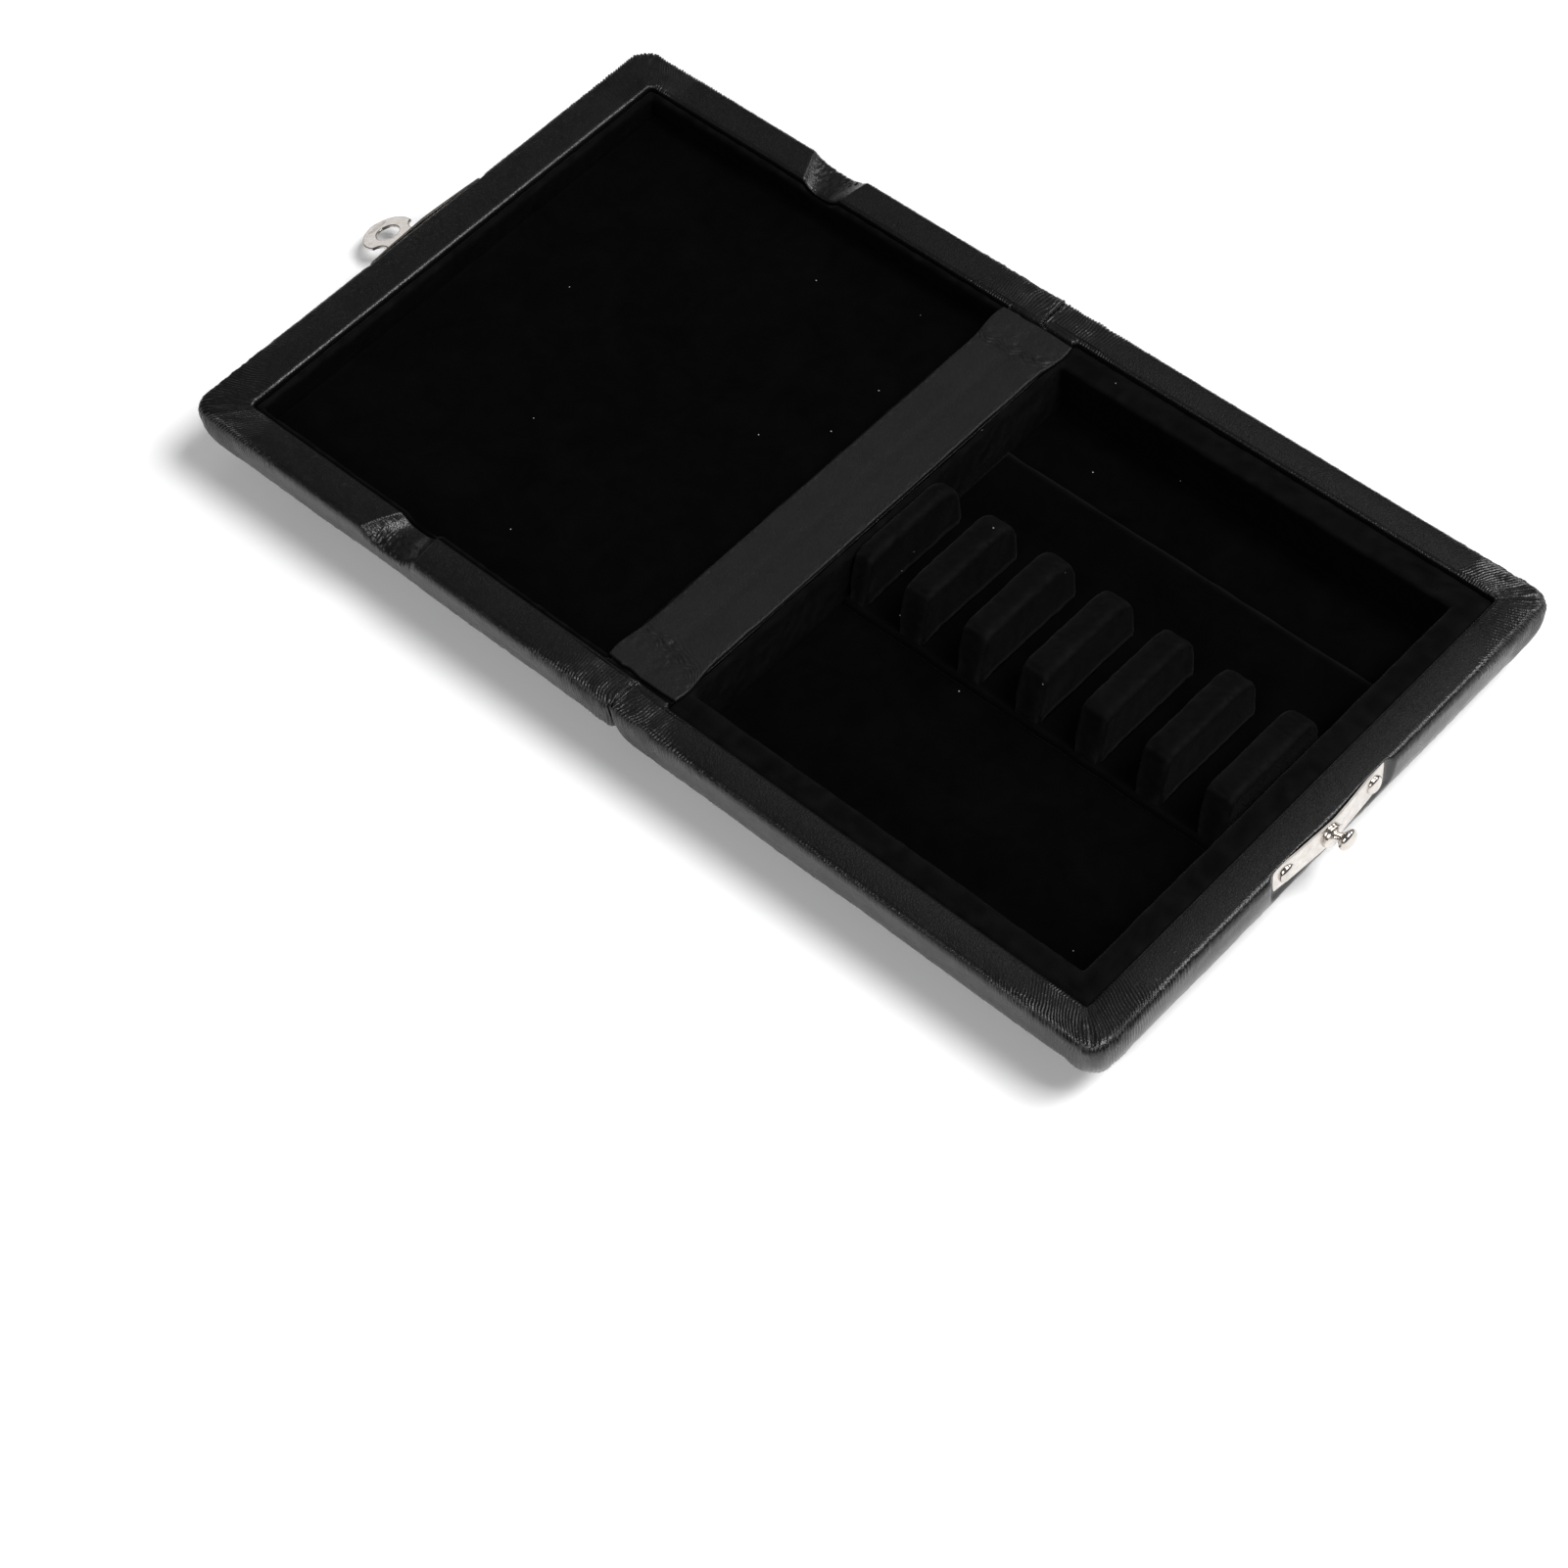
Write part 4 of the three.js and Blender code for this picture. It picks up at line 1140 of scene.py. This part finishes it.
def hasp_shape():
    """The hasp: a rolled knuckle, a neck, square shoulders, a waist between two notches, and a round
    end with a hole and a pressed lip."""
    tip = HASP_LOBE_AT + HASP_LOBE
    stations = [np.linspace(0.0, HASP_SHOULDER_TOP - 0.01, 14)]
    stations.append(HASP_SHOULDER_TOP + HASP_CORNER * (1 - np.cos(np.linspace(0, math.pi / 2, 6))))
    stations.append(np.linspace(HASP_SHOULDER_TOP + 0.5, HASP_WAIST - HASP_NOTCH - 0.05, 14))
    stations.append(HASP_WAIST - HASP_NOTCH * np.cos(np.linspace(0, math.pi, 26)))
    stations.append(HASP_LOBE_AT - HASP_HOLE * np.cos(np.linspace(0, math.pi, 30)))
    stations.append(np.linspace(HASP_LOBE_AT + HASP_HOLE, tip - 0.5, 22)[1:])
    stations.append(tip - 0.5 * np.cos(np.linspace(0, math.pi / 2 - 0.05, 8))[1:])
    us = np.unique(np.round(np.concatenate(stations), 4))
    us = us[np.concatenate([[True], np.diff(us) > 0.004])]
    widths = np.array([hasp_half_width(u) for u in us])
    holes = np.sqrt(np.maximum(HASP_HOLE**2 - (us - HASP_LOBE_AT) ** 2, 0))
    share = lines_between(0, 1, 14, 0.12)[None, :]
    w = holes[:, None] * (1 - share) + widths[:, None] * share
    u = np.repeat(us[:, None], share.shape[1], axis=1)
    fine = np.linspace(0, 1, 6, endpoint=False)[:, None]
    rim_u = (us[:-1] * (1 - fine) + us[1:] * fine).ravel()
    rim_w = (widths[:-1] * (1 - fine) + widths[1:] * fine).ravel()
    turn = np.linspace(0, 2 * math.pi, 240)
    hole_rim = np.stack([HASP_LOBE_AT + HASP_HOLE * np.cos(turn), HASP_HOLE * np.sin(turn)], -1)
    shoulder = np.linspace(HASP_NECK, HASP_SHOULDER - HASP_CORNER, 60)
    top_rim = np.stack([np.full(60, HASP_SHOULDER_TOP), shoulder], -1)
    rim = np.stack([rim_u, rim_w], -1)
    flip = np.array([1, -1])
    outline = np.concatenate([rim, rim * flip, hole_rim, top_rim, top_rim * flip])

    def place(pu, pw, offset):
        rolled = 0.55 + 0.3 * (1 - smooth_step(pu, 0.3, 2.3))
        slot_at = HASP_LOBE_AT + 3.05
        in_lip = smooth_step(2.0 - np.abs(pw + 0.25), 0, 0.3)
        lip = in_lip * (0.26 * bell(pu - slot_at - 0.42, 0.3) - 0.30 * bell(pu - slot_at, 0.2))
        lip = lip * np.where(np.asarray(offset) > 0, 1.0, 0.1)
        bowed = 0.03 * (pw / HASP_LOBE) ** 2 + 0.012 * noise(pu / 3, pw / 3, 0, 307)
        out = rolled + lip - bowed + offset
        x = BARREL_X + pu * math.cos(HASP_DROOP) - out * math.sin(HASP_DROOP)
        z = BARREL_Z - pu * math.sin(HASP_DROOP) - out * math.cos(HASP_DROOP)
        return np.stack([x, pw, z], axis=-1)

    sheet = sheet_metal([(u, w), (u[::-1], -w[::-1])], place, 0.5, 0.2, outline)
    return joined([sheet, knuckle(-KNUCKLE_JOINT + 0.1, KNUCKLE_JOINT - 0.1, 309)])


add_metal("base_catch_plate", latch_plate(False, 311), False, "base", "base_latch_plate")
add_metal("lid_catch_plate", lid_plate(), True, "lid", "lid_latch_plate")
for side, y in (("near", -RIVET_AT), ("far", RIVET_AT)):
    seed = 320 + int(y)
    base_nail = rivet_head(y, PLATE_CENTRE_Z, False, seed)
    add_metal(f"base_nail_{side}", base_nail, False, "base", f"base_rivet_{side}")
    lid_nail = rivet_head(-y, PLATE_CENTRE_Z, True, seed + 2)
    add_metal(f"lid_nail_{side}", lid_nail, True, "lid", f"lid_rivet_{side}")
add_metal("catch_stud", stud(), False, "base", "latch_stud")
add_metal("barrel_pin", hinge_pin(), True, "lid", "hasp_pin")
add_metal("hasp_plate", hasp_shape(), True, "hasp", "hasp")

# ---------------------------------------------------------------- carried-over CAD nodes
FINISH = {
    "leather": leather,
    "strip_leather": strip_leather,
    "velvet": velvet,
    "board": board,
    "foam": foam,
    "nickel": nickel,
}
for part in frame["record"]["subparts"]:
    shown = frame["nodes"][part["node"]]
    for place in shown.material_slots:
        place.material = FINISH[part["material_slot"]]

# ---------------------------------------------------------------- floor, light and camera
floor_mesh = bpy.data.meshes.new("floor")
floor_mesh.from_pydata([(-3, -3, 0), (3, -3, 0), (3, 3, 0), (-3, 3, 0)], [], [(0, 1, 2, 3)])
floor = bpy.data.objects.new("floor", floor_mesh)
floor.location.z = -0.00002
bpy.context.scene.collection.objects.link(floor)
floor_material, floor_tree, floor_shader = new_material("pale_floor")
floor_look = {"Base Color": (0.94, 0.94, 0.94, 1), "Roughness": 0.9, "Specular IOR Level": 0.1}
feed(floor_tree, floor_shader, floor_look)
floor_mesh.materials.append(floor_material)


def area_light(name, place, target, size, power):
    data = bpy.data.lights.new(name, "AREA")
    data.shape = "RECTANGLE"
    data.size, data.size_y = size
    data.energy = power
    lamp = bpy.data.objects.new(name, data)
    lamp.location = place
    lamp.rotation_euler = (Vector(target) - Vector(place)).to_track_quat("-Z", "Y").to_euler()
    bpy.context.scene.collection.objects.link(lamp)


area_light("key_softbox", (0.65, 0.30, 1.25), (0, 0, 0), (0.6, 0.6), 21)
area_light("right_softbox", (0.35, 0.75, 0.55), (0, 0, 0), (0.5, 0.3), 3)
area_light("back_softbox", (-1.05, 0.41, 0.27), (-0.15, 0, 0), (0.5, 0.25), 0.42)
area_light("top_softbox", (-0.30, 0.62, 1.05), (0.04, 0, 0), (0.5, 0.45), 0.6)
area_light("fill_softbox", (0.1, -0.9, 0.75), (0, 0, 0), (0.5, 0.5), 6)

world = bpy.data.worlds.new("studio")
bpy.context.scene.world = world
world.use_nodes = True
background = world.node_tree.nodes["Background"]
feed(world.node_tree, background, {"Color": (1, 1, 1, 1), "Strength": 0.125})

camera_data = bpy.data.cameras.new("camera")
camera_data.sensor_width = 36
camera_data.lens = 86.413
camera_data.clip_start = 0.01
camera = bpy.data.objects.new("camera", camera_data)
camera.location = (0.22674, -0.25639, 0.45934)
camera.rotation_euler = tuple(math.radians(a) for a in (35.751, 4.529, 43.015))
bpy.context.scene.collection.objects.link(camera)
bpy.context.scene.camera = camera
bpy.context.scene.view_settings.view_transform = "Standard"

bpy.context.view_layer.update()
